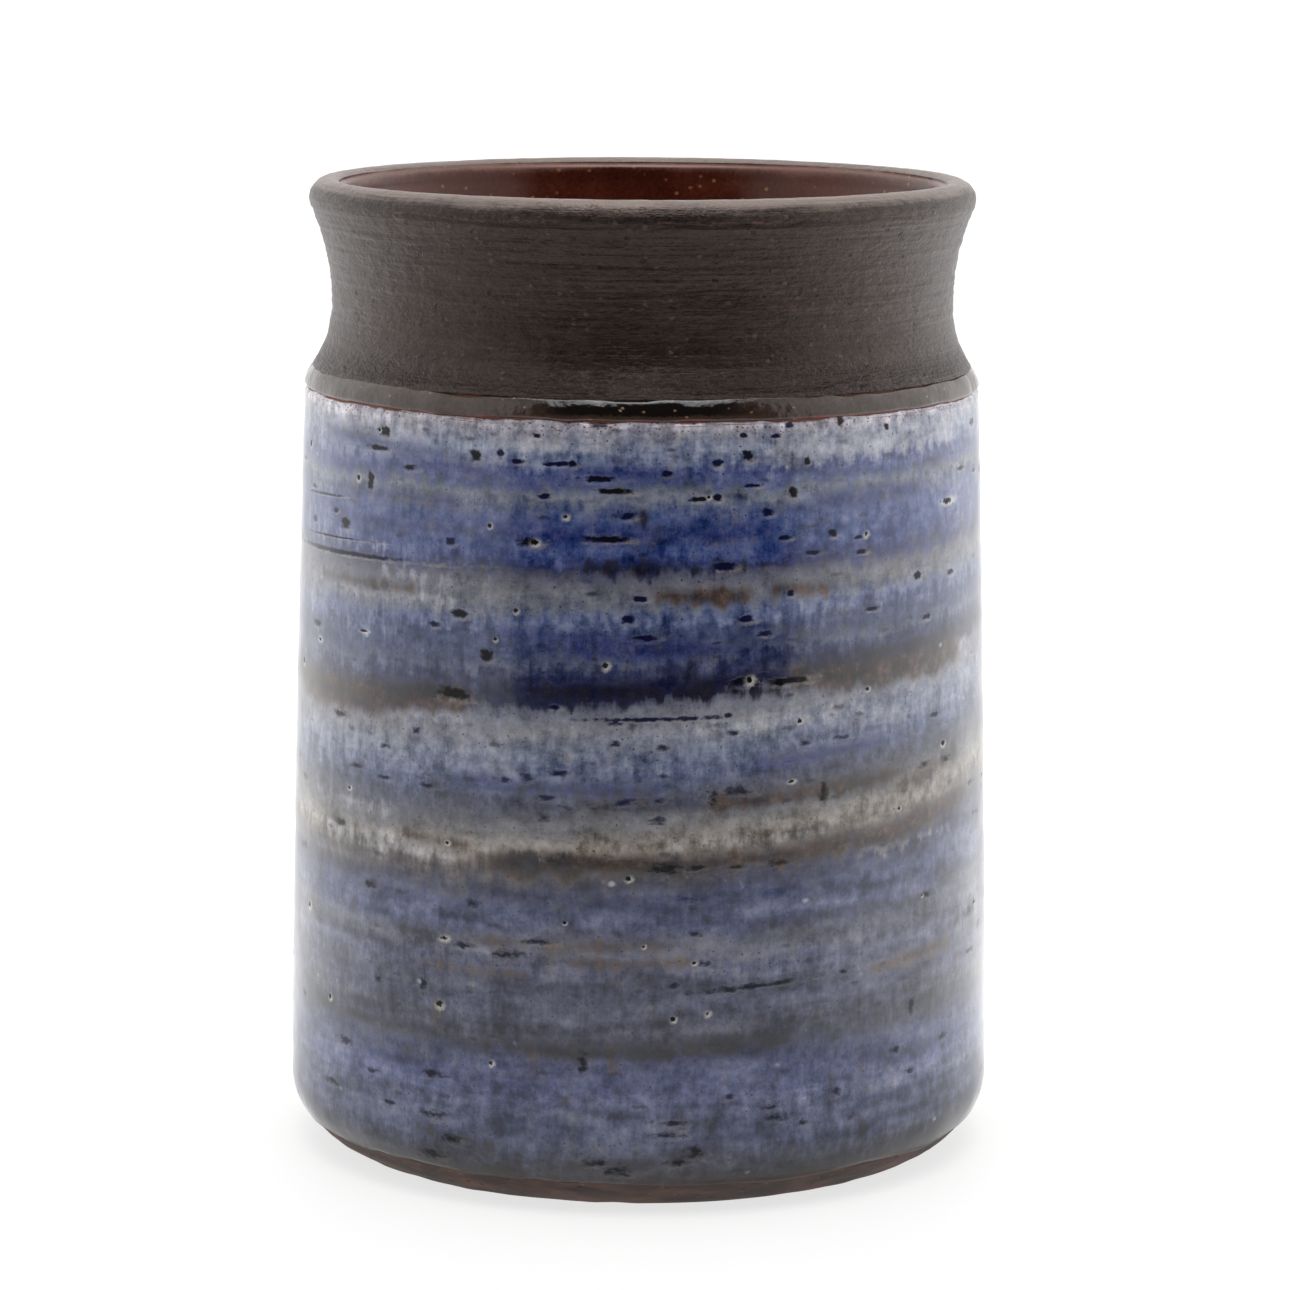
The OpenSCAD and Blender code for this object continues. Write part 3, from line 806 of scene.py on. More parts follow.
# %% Bands, smears and streaks of the blue glaze
def blue_ground(f):
    """Colour by band height plus noise, then the smears, the lighter and darker streaks, and the stains.

    Gives back the colour and the mask of the iron smears."""
    band, cobalt, _ = f.attribute("lay")
    iron, dark, pale = f.attribute("smears")
    runs = f.noise(1.8, 7.5, 3.0, 1.0, 0.55)
    fine_runs = f.noise(0.42, 2.4, 2.0, 4.0)
    layers = f.noise(12.0, 1.4, 2.0, 7.0)
    milky = f.noise(4.6, 3.2, 4.0, 11.0, 0.62)
    mottle, grain, lower = f.mottle, f.grain, f.lower
    read_at = f.total((runs, 1.5), (mottle, 0.7), (fine_runs, 0.2), (layers, 0.7), (band, 1.0))
    colour = f.bands(read_at, glaze_bands)

    ragged = f.total((runs, 1.3), (mottle, 0.9), (fine_runs, 0.25))
    cobalt_in = f.step(f.math("ADD", cobalt, ragged), -0.4, 1.4, 0.0, 0.75)
    colour = f.lay(colour, cobalt_in, (36, 42, 84))
    pale_in = f.step(f.math("ADD", pale, ragged), -0.4, 1.4, 0.0, 0.5)
    colour = f.lay(colour, pale_in, (132, 131, 136))
    iron_in = f.step(f.math("ADD", iron, ragged), -0.7, 0.9, 0.0, 0.93)
    iron_pale = f.step(f.total((milky, 0.6), (mottle, 0.5)), -0.5, 0.7)
    iron_colour = f.mix(iron_pale, srgb(27, 20, 17), srgb(70, 51, 42))
    iron_colour = f.mix(f.step(f.height, 40.0, 34.0), iron_colour, srgb(66, 55, 52))
    colour = f.mix(iron_in, colour, iron_colour)
    dark_in = f.step(f.total((dark, 1.0), (ragged, 1.5)), -0.5, 1.1, 0.0, 0.88)
    colour = f.mix(dark_in, colour, f.mix(lower, srgb(17, 15, 25), srgb(28, 25, 30)))
    amount = f.total((milky, 0.60), (runs, 0.50), (mottle, 0.95), (layers, 0.30), (fine_runs, 0.20),
                     (grain, 0.26))
    low_streaks = f.total((f.noise(10.0, 2.1, 1.0, 19.0), 0.75), (milky, 0.25))
    low_part = f.step(f.height, 56.0, 44.0)
    amount = f.total((f.times(low_streaks, low_part), 1.0), (lower, -0.18), (amount, 1.0))
    colour = f.vary(colour, amount, 0.64, 0.32)
    smudge = f.step(f.total((f.noise(3.2, 1.5, 3.0, 51.0, 0.55), 1.0), (mottle, 0.3)), 0.25, 0.95, 0.0, 0.6)
    colour = f.mix(smudge, colour, f.mix(lower, srgb(24, 30, 70), srgb(36, 37, 54)))
    milk = f.step(f.total((f.noise(2.0, 2.2, 3.0, 57.0, 0.6), 1.0), (mottle, 0.3)), 0.5, 1.2, 0.0, 0.5)
    colour = f.lay(colour, milk, (118, 122, 136))
    stain = f.total((f.noise(1.5, 4.5, 3.0, 31.0, 0.6), 0.9), (f.noise(14.0, 1.8, 2.0, 33.0), 0.7))
    stain = f.step(stain, 0.0, 1.1, 0.0, 0.6)
    grey = f.add("ShaderNodeRGBToBW")
    f.feed(colour, grey.inputs[0])
    return f.mix(stain, colour, f.shade((0.98, 0.88, 0.82), grey.outputs[0])), iron_in


print("ground of the blue glaze written")

# %% Marks in the blue glaze
def blue_marks(f, colour):
    """Small strokes, flecks and glints by chance, then the dashes and pinholes kept on the skin, with a painted
    highlight beside each dash and a pale rim round each pinhole that is partly a painted highlight.

    Gives back the colour and the masks that the bumps and the shine need."""
    mottle, grain, lower = f.mottle, f.grain, f.lower
    strokes = f.spots(3.0, 1.1, 5.0, 0.40, 0.34, 0.12, mottle)
    colour = f.lay(colour, strokes, (14, 15, 34), 0.7)
    flecks = f.spots(0.7, 0.7, 9.0, 0.24, 0.14, 0.2, grain)
    colour = f.lay(colour, flecks, (26, 21, 26), 0.8)
    glints = f.spots(3.4, 2.4, 15.0, 0.20, 0.19, 0.07, mottle)
    colour = f.lay(colour, glints, (160, 158, 160), 0.6)

    along, up, mark_tone = f.attribute("dashes")
    reach = f.length(along, up)
    blunt = f.math("MAXIMUM", f.math("ABSOLUTE", along), f.math("ABSOLUTE", up))
    chip = f.total((f.noise(0.7, 0.45, 2.0, 61.0), 0.4), (f.noise(1.6, 0.8, 2.0, 63.0), 0.35))
    chip = f.times(chip, f.math("MULTIPLY_ADD", lower, 0.9, 1.0))
    blur = f.total((chip, 1.0), (reach, 0.75), (blunt, 0.25))
    # Painted highlight: a pale patch below and beside each dash, weaker low on the pot.
    under = f.step(f.total((up, 0.6), (along, -0.3), (mottle, 1.1)), -0.1, -1.5, 0.0, 0.5)
    under = f.times(under, f.math("MULTIPLY_ADD", lower, -0.6, 1.0))
    shine = f.times(f.step(blur, 0.9, 2.1, 1.0, 0.0), under)
    colour = f.lay(colour, shine, (146, 138, 132))
    crisp = f.times(f.step(blur, 0.55, 1.15, 0.98, 0.0), f.math("MULTIPLY_ADD", lower, -1.0, 1.0))
    faint = f.times(f.step(blur, 0.1, 1.5, 0.92, 0.0), lower)
    dash_in = f.math("ADD", crisp, faint)
    dash_colour = f.mix(f.step(mark_tone, 0.2, 0.8), srgb(7, 9, 38), srgb(7, 6, 8))
    colour = f.mix(dash_in, colour, dash_colour)

    along, up, _ = f.attribute("pinholes")
    reach = f.length(along, up)
    rim = f.total((mottle, 0.45), (grain, 0.4), (reach, 1.0))
    # Each pinhole's pale rim is partly the glaze's own colour and partly a painted highlight, brightest on one
    # side.
    highlight_side = f.step(f.total((along, 0.5), (up, -0.6), (mottle, 1.0)), -1.0, 1.4, 0.05, 1.0)
    pale_rim_and_highlight = f.times(f.step(rim, 0.6, 1.9, 0.9, 0.0), highlight_side)
    colour = f.lay(colour, pale_rim_and_highlight, (168, 164, 157))
    hole = f.step(rim, 0.5, 0.8, 1.0, 0.0)
    return f.lay(colour, hole, (7, 5, 6)), strokes, glints, dash_in, pale_rim_and_highlight, hole


print("marks of the blue glaze written")

# %% Edges of the blue glaze, and its shine
def blue_edges(f, colour):
    """Rust threads and dots along the top edge, and a burnt hem above the foot.

    Gives back the colour and the hem's mask."""
    mottle, grain = f.mottle, f.grain
    edge = f.total((f.noise(3.0, 3.0, 4.0, 17.0, 0.6), 0.3), (grain, 0.12), (f.height, 1.0))
    threads = f.total((f.noise(6.0, 0.16, 2.0, 41.0), 1.0), (grain, 0.35))
    top_edge = f.times(f.step(edge, 97.3, 98.3), f.step(threads, 0.0, 0.55, 0.0, 0.9))
    colour = f.lay(colour, top_edge, (92, 34, 22))
    rust_dots = f.spots(0.55, 0.45, 12.0, 0.36, 0.2, 0.6, grain)
    rust_dots = f.times(rust_dots, f.step(edge, 95.6, 98.0, 0.0, 0.9))
    colour = f.lay(colour, rust_dots, (74, 28, 20))
    burnt = f.total((f.noise(7.0, 2.2, 3.0, 18.0, 0.6), 1.9), (mottle, 0.7), (f.height, 1.0))
    low_edge = f.step(burnt, 3.6, 6.0, 0.85, 0.0)
    colour = f.lay(colour, low_edge, (30, 23, 21))
    hem = f.step(edge, 3.7, 4.6, 1.0, 0.0)
    return f.lay(colour, hem, (40, 28, 24), 0.8), hem


def blue_finish():
    """The whole blue finish: ground, marks and edges, with a faint orange peel in the bumps."""
    f = Finish("blue_glaze")
    f.mottle = f.noise(1.3, 1.4, 4.0, 12.0, 0.62)
    f.grain = f.noise(0.26, 0.26, 2.0, 13.0)
    f.lower = f.step(f.height, 66.0, 56.0)
    colour, iron_in = blue_ground(f)
    colour, strokes, glints, dash_in, pale_rim_and_highlight, hole = blue_marks(f, colour)
    colour, hem = blue_edges(f, colour)
    peel = f.total((f.noise(1.6, 1.6, 2.0, 21.0), 7e-6), (f.mottle, 2e-6), (f.grain, 6e-7))
    relief = f.total((dash_in, -1.6e-5), (hole, -9e-5), (pale_rim_and_highlight, 2.5e-5), (strokes, -6e-6), (glints, 8e-6),
                     (peel, 1.0))
    f.bump(relief)
    rough = f.total((iron_in, 0.06), (hole, 0.4), (hem, 0.3), (0.11, 1.0))
    gloss = f.total((dash_in, -0.34), (hole, -0.3), (hem, -0.3), (0.5, 1.0))
    gloss = f.math("MAXIMUM", gloss, 0.05)
    return f.set(Base_Color=f.shade(colour, GLAZE_LIFT), Roughness=rough, IOR=1.5, Specular_IOR_Level=gloss)


print("blue finish written")

# %% The blue glaze coat's skin
WIDE = 432
blue_path = even(between(outside(0.0, 0.0), foot_line - 1.0 * MM, blue_top + 0.8 * MM), 1200)
blue_run = walked(blue_path)
blue_start, blue_stop = np.interp([foot_line, blue_top - 0.1 * MM], blue_path[:, 1], blue_run)
BLUE_ROWS = 210
turn = turns(WIDE)[None, :]
down = np.linspace(blue_start, blue_stop, BLUE_ROWS)[:, None]
level = np.interp(down, blue_run, blue_path[:, 1])


def wheel_rings(turn, height, seed):
    """Throwing rings: three sines up the pot whose phase drifts round it, plus soft bumps, in metres."""
    drift = 0.7 * np.sin(turn + seed) + 0.3 * np.sin(2 * turn - seed)
    rings = 0.0
    for pitch, size in ((9.5, 0.02), (6.1, 0.015), (3.7, 0.010)):
        rings = rings + size * np.sin(2 * np.pi * height / MM / pitch + drift + pitch)
    bumps = layered(turn, height, (0.055, 44, 5.5, seed), (0.022, 100, 2.2, seed + 1))
    return (rings + bumps) * MM


blue_relief = wheel_rings(turn, level, 3) + 0.03 * MM * np.sin(2 * turn + 0.7)
blue_relief = np.minimum(blue_relief - 0.10 * MM, -0.01 * MM)
blue_thick = np.interp(level, [heel_h, shoulder_z], [glaze_low_t, glaze_top_t])
blue_relief = blue_relief + rounded(down - blue_start, 1.2 * MM, blue_thick * 0.7)
blue_relief = blue_relief + rounded(blue_stop - down, 0.5 * MM, blue_thick * 0.8)
low_wave = layered(turn, 0.0, (0.35, 26, 1.0, 5), (0.2, 90, 1.0, 6))
top_wave = layered(turn, 0.0, (0.16, 60, 1.0, 7), (0.14, 180, 1.0, 8))
blue_slide = MM * (low_wave * np.clip(1 - (down - blue_start) / (4 * MM), 0, 1)
                   + (top_wave - 0.04) * np.clip(1 - (blue_stop - down) / (2 * MM), 0, 1))
rows_r, rows_z = coat_rows(blue_path, blue_start, blue_stop, BLUE_ROWS, blue_thick, blue_relief, blue_slide)
blue_shown = np.arange(len(rows_r)) < BLUE_ROWS
blue_coat, corner_row, corner_col = turned("blue_glaze_coat", rows_r, rows_z, False, blue_shown)

grid_turn = np.broadcast_to(turn, rows_r.shape)
band_mm = band_height(grid_turn, rows_z) / MM
cobalt_mm = depth_in(smears["cobalt"], grid_turn, rows_z)
keep(blue_coat, "lay", np.stack([band_mm, cobalt_mm, rows_z / MM], axis=-1).reshape(-1, 3), "POINT")
depths = [depth_in(smears[kind], grid_turn, rows_z) for kind in ("iron", "dark", "pale")]
keep(blue_coat, "smears", np.stack(depths, axis=-1).reshape(-1, 3), "POINT")
corner_turn = -np.pi + 2 * np.pi * corner_col / WIDE
corner_height = rows_z[corner_row % len(rows_z), corner_col % WIDE]
keep(blue_coat, "dashes", nearest_mark(corner_turn, corner_height, dashes), "CORNER")
keep(blue_coat, "pinholes", nearest_mark(corner_turn, corner_height, pinholes), "CORNER")
finish_piece(blue_coat, "blue_glaze", blue_finish())

# %% [markdown]
# ## The dark band on the shoulder
# Above the blue the shoulder was left with a thin iron glaze. It pools in drips, so its skin gets bumps a few
# millimetres wide, and those break the long reflection of the lamp into separate drops.

# %% The shoulder band's finish
def dark_finish():
    """Dark brown iron glaze, glossy, with rust at both edges where it thins out; near the front and back middle
    it is painted near-black, a painted reflection of the tent's dark gap.
    """
    f = Finish("dark_glaze")
    blotch = f.noise(5.0, 2.0, 3.0, 2.0)
    fine = f.noise(0.6, 0.6, 3.0, 6.0, 0.6)
    grain = f.noise(0.25, 0.25, 2.0, 13.0)
    level_up = f.total((blotch, 0.22), (fine, 0.34), (grain, 0.12), (f.height, 1.0))
    broken = f.step(f.noise(2.6, 1.0, 3.0, 23.0, 0.6), -0.3, 0.5, 0.1, 1.0)
    rust = f.mix(broken, srgb(34, 24, 21), srgb(104, 46, 32))
    brown = f.mix(f.step(fine, -0.8, 0.8), srgb(46, 35, 30), srgb(64, 49, 41))
    colour = f.mix(f.step(level_up, 98.4, 98.75), rust, brown)
    # Painted reflection: near the front and back middle the glossy band is laid near-black, as the dark gap in
    # front would mirror in it.
    sideways = f.total((f.math("ABSOLUTE", f.side), 1 / MM), (blotch, 2.5))
    painted_dark_reflection = f.times(f.step(level_up, 98.9, 99.3), f.step(sideways, 17.0, 8.0))
    colour = f.lay(colour, painted_dark_reflection, (16, 12, 11))
    colour = f.vary(colour, f.total((fine, 0.4), (grain, 0.3)), 0.4, 0.1)
    specks = f.spots(1.3, 0.9, 3.0, 0.2, 0.12, 0.3, grain)
    colour = f.lay(colour, specks, (150, 110, 84), 0.7)
    f.bump(f.total((f.noise(1.7, 1.5, 2.0, 9.0), 3.2e-5), (fine, 6e-6), (specks, 2e-5)))
    rough = f.total((f.step(blotch, -0.4, 0.8), 0.06), (0.07, 1.0))
    return f.set(Base_Color=colour, Roughness=rough, IOR=1.5)


print("shoulder finish written")

# %% The shoulder band's skin
dark_path = even(between(outside(0.0, 0.0), blue_top - 1.0 * MM, dark_top + 1.0 * MM), 400)
dark_run = walked(dark_path)
dark_start, dark_stop = np.interp([blue_top, dark_top], dark_path[:, 1], dark_run)
DARK_ROWS = 36
down = np.linspace(dark_start, dark_stop, DARK_ROWS)[:, None]
level = np.interp(down, dark_run, dark_path[:, 1])
dark_relief = layered(turn, level, (0.09, 80, 1.8, 11), (0.02, 150, 0.9, 12)) - 0.10
dark_relief = np.minimum(dark_relief, -0.02) * MM
dark_relief = dark_relief + rounded(down - dark_start, 0.4 * MM, 0.3 * MM)
dark_relief = dark_relief + rounded(dark_stop - down, 0.5 * MM, 0.2 * MM)
low_wave = layered(turn, 0.0, (0.14, 90, 1.0, 13)) + 0.02
top_wave = layered(turn, 0.0, (0.25, 36, 1.0, 14), (0.15, 110, 1.0, 15)) + 0.1
share = (down - dark_start) / (dark_stop - dark_start)
dark_slide = MM * (low_wave * (1 - share) + top_wave * share)
rows_r, rows_z = coat_rows(dark_path, dark_start, dark_stop, DARK_ROWS, glaze_top_t, dark_relief, dark_slide, 4)
shoulder_band, _, _ = turned("shoulder_glaze_band", rows_r, rows_z, False, np.arange(len(rows_r)) < DARK_ROWS)
finish_piece(shoulder_band, "shoulder_glaze", dark_finish())

# %% [markdown]
# ## The washed neck and lip
# The neck carries only a thin iron wash, so the potter's rib marks stay sharp: rings about half a millimetre
# apart that come and go round the pot, and drag marks where a grain of grog was pulled along. Real ridges catch
# the side light better than painted ones, so they are in the skin itself and the nodes only add the finest.

# %% The finish of the neck and lip
def wash_finish():
    """A satin brown-black wash: fine rings, a few rusty ones, grog bumps, and a painted highlight that makes
    the top of the lip's roll paler.
    """
    f = Finish("iron_wash")
    lines_fine = f.noise(12.0, 0.34, 2.0, 2.0, 0.6)
    lines_wide = f.noise(22.0, 1.1, 2.0, 5.0)
    cloud = f.noise(8.0, 4.0, 3.0, 8.0)
    blotch = f.noise(1.6, 0.9, 4.0, 10.0, 0.65)
    torn = f.noise(1.0, 0.4, 3.0, 21.0, 0.65)
    grain = f.noise(0.34, 0.30, 2.0, 12.0, 0.6)
    colour = f.mix(f.step(cloud, -0.9, 0.9), srgb(34, 24, 21), srgb(41, 32, 28))
    higher = f.step(f.height, 110.0, 120.0)
    colour = f.lay(colour, higher, (42, 36, 33), 0.6)
    amount = f.total((lines_fine, 0.9), (lines_wide, 0.6), (cloud, 0.4), (blotch, 1.0), (torn, 1.1),
                     (grain, 1.0))
    colour = f.vary(colour, amount, 0.6, 0.1)
    cracks = f.step(f.total((torn, 1.0), (lines_fine, 0.8)), -0.7, -1.3, 0.0, 0.8)
    colour = f.lay(colour, cracks, (12, 9, 8))
    rust = f.times(f.step(lines_fine, 0.35, 0.9), f.step(f.noise(5.0, 2.0, 2.0, 15.0), 0.0, 0.6))
    colour = f.lay(colour, rust, (96, 52, 38), 0.6)
    grog = f.spots(1.7, 1.2, 3.0, 0.26, 0.16, 0.3, grain)
    colour = f.lay(colour, grog, (96, 78, 68), 0.4)
    pits = f.spots(2.1, 1.1, 8.0, 0.25, 0.12, 0.3, grain)
    colour = f.lay(colour, pits, (10, 7, 6), 0.8)
    drag = f.total((f.noise(12.0, 5.0, 2.0, 27.0), 0.8), (torn, 0.12), (f.height, 1.0), (-121.7, 1.0))
    drag_on = f.step(f.noise(14.0, 3.0, 2.0, 28.0), -0.3, 0.3, 0.0, 0.85)
    drag_in = f.times(f.step(f.math("ABSOLUTE", drag), 0.12, 0.4, 1.0, 0.0), drag_on)
    colour = f.lay(colour, drag_in, (12, 9, 8))
    burr = f.times(f.step(drag, 0.25, 0.4), f.step(drag, 0.75, 0.5))
    burr = f.times(burr, f.times(drag_on, f.step(torn, -0.1, 0.7)))
    colour = f.lay(colour, burr, (122, 84, 74), 0.7)
    # Painted highlight: the top of the lip's roll is laid paler, as if lit from above.
    lip = f.step(f.total((cloud, 0.5), (torn, 0.3), (lines_fine, 0.4), (f.height, 1.0)), 123.3, 124.6)
    colour = f.lay(colour, lip, (126, 113, 107), 0.8)
    rise = f.total((lines_fine, 3e-5), (torn, 4e-5), (blotch, 4.5e-5), (cracks, -3e-5), (drag_in, -5e-5),
                   (grain, 1.2e-5))
    near = f.step(f.total((cloud, 0.6), (f.height, 1.0)), 105.5, 103.0, 1.0, 2.4)
    f.bump(f.total((f.times(rise, near), 1.0), (grog, 5e-5), (pits, -1e-4)))
    rough = f.total((cloud, 0.04), (blotch, 0.07), (0.34, 1.0))
    f.set(Base_Color=colour, Roughness=rough, IOR=1.5, Specular_IOR_Level=0.33)
    return f.set(Specular_Tint=(1.0, 0.80, 0.74, 1.0))


print("neck finish written")

# %% The skin of the neck and lip
NECK_WIDE = 360
WASH_ROWS = 250
THROAT_POINTS = 60
neck_out = outside(0.0, 0.0)
neck_out = neck_out[neck_out[:, 1] > dark_top - 1.0 * MM]
wash_path = even(np.vstack([neck_out, inside(0.0)[1:THROAT_POINTS]]), 3000)
wash_run = walked(wash_path)
crest_at = int(np.argmax(wash_path[:, 1]))
wash_start = np.interp(dark_top, wash_path[:crest_at, 1], wash_run[:crest_at])
wash_stop = np.interp(-liner_top, -wash_path[crest_at:, 1], wash_run[crest_at:])
turn = turns(NECK_WIDE)[None, :]
down = np.linspace(wash_start, wash_stop, WASH_ROWS)[:, None]
ridges = layered(turn, down, (0.050, 16, 0.40, 21), (0.045, 8, 1.0, 22), (0.05, 6, 3.4, 23),
                 (0.05, 150, 0.9, 24))
crest_gap = np.abs(down - wash_run[crest_at])
calm = steps_up(2.0 * MM, 5.0 * MM, crest_gap) * 0.4 + 0.6
wash_relief = np.minimum(ridges * calm - 0.10, -0.01) * MM
wash_relief = wash_relief + rounded(down - wash_start, 0.3 * MM, 0.1 * MM)
wash_slide = MM * layered(turn, 0.0, (0.05, 40, 1.0, 25)) * np.clip(1 - (down - wash_start) / (4 * MM), 0, 1)
rows_r, rows_z = coat_rows(wash_path, wash_start, wash_stop, WASH_ROWS, wash_t, wash_relief, wash_slide)
neck_wash, _, _ = turned("neck_and_lip_wash", rows_r, rows_z, False, np.arange(len(rows_r)) < WASH_ROWS)
finish_piece(neck_wash, "neck_wash", wash_finish())

# %% [markdown]
# ## The liner
# Inside, a red-brown liner glaze makes the vase hold water. It is glossy, with tan flecks. The liner's skin
# runs from under the middle of the floor, up the face against the clay, over its edge below the lip, and down
# the shown face to the middle of the floor.

# %% The liner's finish
def liner_finish():
    """Glossy red-brown with tan and orange flecks, darker where it is thick and paler at its top edge, partly
    from the thin coat and partly a painted sheen.
    """
    f = Finish("liner_glaze")
    cloud = f.noise(10.0, 6.0, 3.0, 3.0)
    grain = f.noise(0.5, 0.5, 3.0, 5.0, 0.6)
    colour = f.mix(f.step(cloud, -0.9, 0.9), srgb(54, 18, 10), srgb(84, 36, 23))
    colour = f.vary(colour, grain, 0.3, 0.1)
    fleck = f.spots(1.5, 1.3, 4.0, 0.26, 0.2, 0.4, grain)
    colour = f.lay(colour, fleck, (160, 104, 70), 0.7)
    dark_fleck = f.spots(1.0, 1.0, 8.0, 0.24, 0.14, 0.4, grain)
    colour = f.lay(colour, dark_fleck, (32, 18, 14), 0.6)
    # The paler band at the top edge is partly the thin coat and partly a painted sheen of the light above.
    thin_edge_and_sheen = f.step(f.total((cloud, 0.7), (grain, 0.2), (f.height, 1.0)), 122.9, 123.9, 0.0, 0.34)
    colour = f.lay(colour, thin_edge_and_sheen, (142, 116, 108))
    f.bump(f.total((f.noise(2.5, 2.5, 2.0, 9.0), 8e-6), (grain, 1.5e-6)))
    rough = f.total((f.step(cloud, -0.5, 0.8), 0.10), (f.step(f.height, 118.0, 124.0), 0.10), (0.13, 1.0))
    f.set(Base_Color=colour, Roughness=rough, IOR=1.5, Specular_IOR_Level=0.42)
    return f.set(Specular_Tint=(1.0, 0.70, 0.62, 1.0))


print("liner finish written")

# %% The liner's skin
LINER_WIDE, LINER_ROWS = 288, 150
LINER_POINTS, WALL_POINTS = 2000, 1200
liner_path = even(inside(0.0), LINER_POINTS)
liner_run = walked(liner_path)
liner_start = np.interp(-liner_top, -liner_path[:WALL_POINTS, 1], liner_run[:WALL_POINTS])
liner_stop = liner_run[-1] - 0.6 * MM
turn = turns(LINER_WIDE)[None, :]
down = np.linspace(liner_start, liner_stop, LINER_ROWS)[:, None]
liner_relief = layered(turn, down, (0.05, 14, 8.0, 31), (0.03, 40, 3.0, 32))
liner_relief = (liner_relief - 0.09) * MM * np.clip((liner_run[-1] - down) / (6 * MM), 0, 1)
liner_relief = liner_relief + rounded(down - liner_start, 0.4 * MM, 0.05 * MM)
still = 0 * liner_relief
rows_r, rows_z = coat_rows(liner_path, liner_start, liner_stop, LINER_ROWS, liner_t, liner_relief, still, 24)
order = np.concatenate([np.arange(LINER_ROWS, len(rows_r)), np.arange(LINER_ROWS)])
liner_coat, _, _ = turned("liner_coat", rows_r[order], rows_z[order], True, order < LINER_ROWS)
finish_piece(liner_coat, "liner_glaze", liner_finish())

# %% [markdown]
# ## The thrown pot
# The clay itself shows only at the foot, under the vase, and in the fine groove between the two glazes. Its
# skin follows the whole pot all the same, a hair under each coat. The bare foot was wiped with a sponge, which
# leaves the coarse grog standing, and it flashed rust-red in the kiln.

# %% The clay's finish
def clay_finish():
    """Dark brown stoneware with rust flashing, pale and dark grog, and a dry, pitted face."""
    f = Finish("bare_clay")
    flash = f.noise(6.0, 1.6, 3.0, 2.0)
    grain = f.noise(0.4, 0.4, 3.0, 4.0, 0.65)
    lines_fine = f.noise(16.0, 0.35, 2.0, 6.0)
    colour = f.mix(f.step(flash, -0.5, 0.9), srgb(50, 39, 35), srgb(90, 62, 51))
    char = f.step(f.noise(4.0, 1.6, 3.0, 12.0, 0.6), 0.2, 0.8, 0.0, 0.7)
    colour = f.lay(colour, char, (30, 25, 23))
    colour = f.vary(colour, f.total((grain, 0.5), (lines_fine, 0.3)), 0.5, 0.1)
    rust = f.step(f.total((flash, 0.5), (f.height, 1.0)), 60.0, 80.0)
    colour = f.lay(colour, rust, (122, 66, 44), 0.85)
    grog = f.spots(1.4, 1.0, 3.0, 0.26, 0.16, 0.4, grain)
    colour = f.lay(colour, grog, (112, 88, 74), 0.4)
    pit = f.spots(1.8, 1.2, 7.0, 0.26, 0.12, 0.35, grain)
    colour = f.lay(colour, pit, (26, 20, 18), 0.7)
    f.bump(f.total((grain, 1.2e-5), (grog, 3e-5), (pit, -6e-5), (lines_fine, 8e-6)))
    return f.set(Base_Color=colour, Roughness=f.total((grain, 0.06), (0.72, 1.0)), IOR=1.45)


print("clay finish written")

# %% The clay pot's skin
hair = 0.02 * MM
foot_r = body_r - foot_in - glaze_low_t
ring_in = foot_r - foot_ring_w
under = np.array([[0.3 * MM, foot_recess], [ring_in - 1.0 * MM, foot_recess],
                  [ring_in - 0.3 * MM, 0.7 * foot_recess], [ring_in + 0.2 * MM, 0.15 * MM],
                  [ring_in + 0.7 * MM, 0.0], [foot_r - 0.35 * MM, 0.0]])
low_out = outside(glaze_low_t + hair, glaze_top_t + hair)
low_out = low_out[(low_out[:, 1] > 0.25 * MM) & (low_out[:, 1] < dark_top)]
high_out = outside(glaze_low_t + hair, wash_t + hair)
high_out = high_out[high_out[:, 1] >= dark_top]
wet, dry = inside(wash_t + hair), inside(liner_t + hair)
dry = dry[np.argmax(dry[:, 1] < liner_top):-1]
wet = wet[wet[:, 1] >= liner_top][1:]
pot_path = np.vstack([under, low_out, high_out, wet, dry, [[0.5 * MM, dry[-1, 1]]]])
CLAY_WIDE, CLAY_ROWS = 240, 340
pot_run = walked(pot_path)
where = np.interp(np.linspace(0, 1, CLAY_ROWS), [0, 0.1, 0.3, 1], pot_run[-1] * np.array([0, 0.1, 0.16, 1]))
pot_rows = np.stack([np.interp(where, pot_run, pot_path[:, axis]) for axis in (0, 1)], axis=1)
turn = turns(CLAY_WIDE)[None, :]
bare = ((pot_rows[:, 1] < foot_line) & (pot_rows[:, 0] > ring_in))[:, None]
rough_face = layered(turn, where[:, None], (0.08, 90, 1.2, 41), (0.06, 24, 2.5, 42))
pot_relief = np.minimum(rough_face - 0.08, 0.0) * MM * bare
pot_normal = outward(pot_rows)
rows_r = pot_rows[:, :1] + pot_normal[:, :1] * pot_relief
rows_z = np.maximum(pot_rows[:, 1:] + pot_normal[:, 1:] * pot_relief, 0.0)
clay_pot, _, _ = turned("thrown_clay_pot", rows_r, rows_z, True, np.ones(CLAY_ROWS, dtype=bool))
finish_piece(clay_pot, "clay_body", clay_finish())

# %% [markdown]
# ## The white tent
# A glazed pot is best seen in a tent of white cloth with a gap in front to look through. The gap is what keeps
# the glaze deep in the middle, because the pot mirrors it there, while the cloth at both sides lays a pale
# sheen over its flanks. The tent here is the world's own light, by direction.

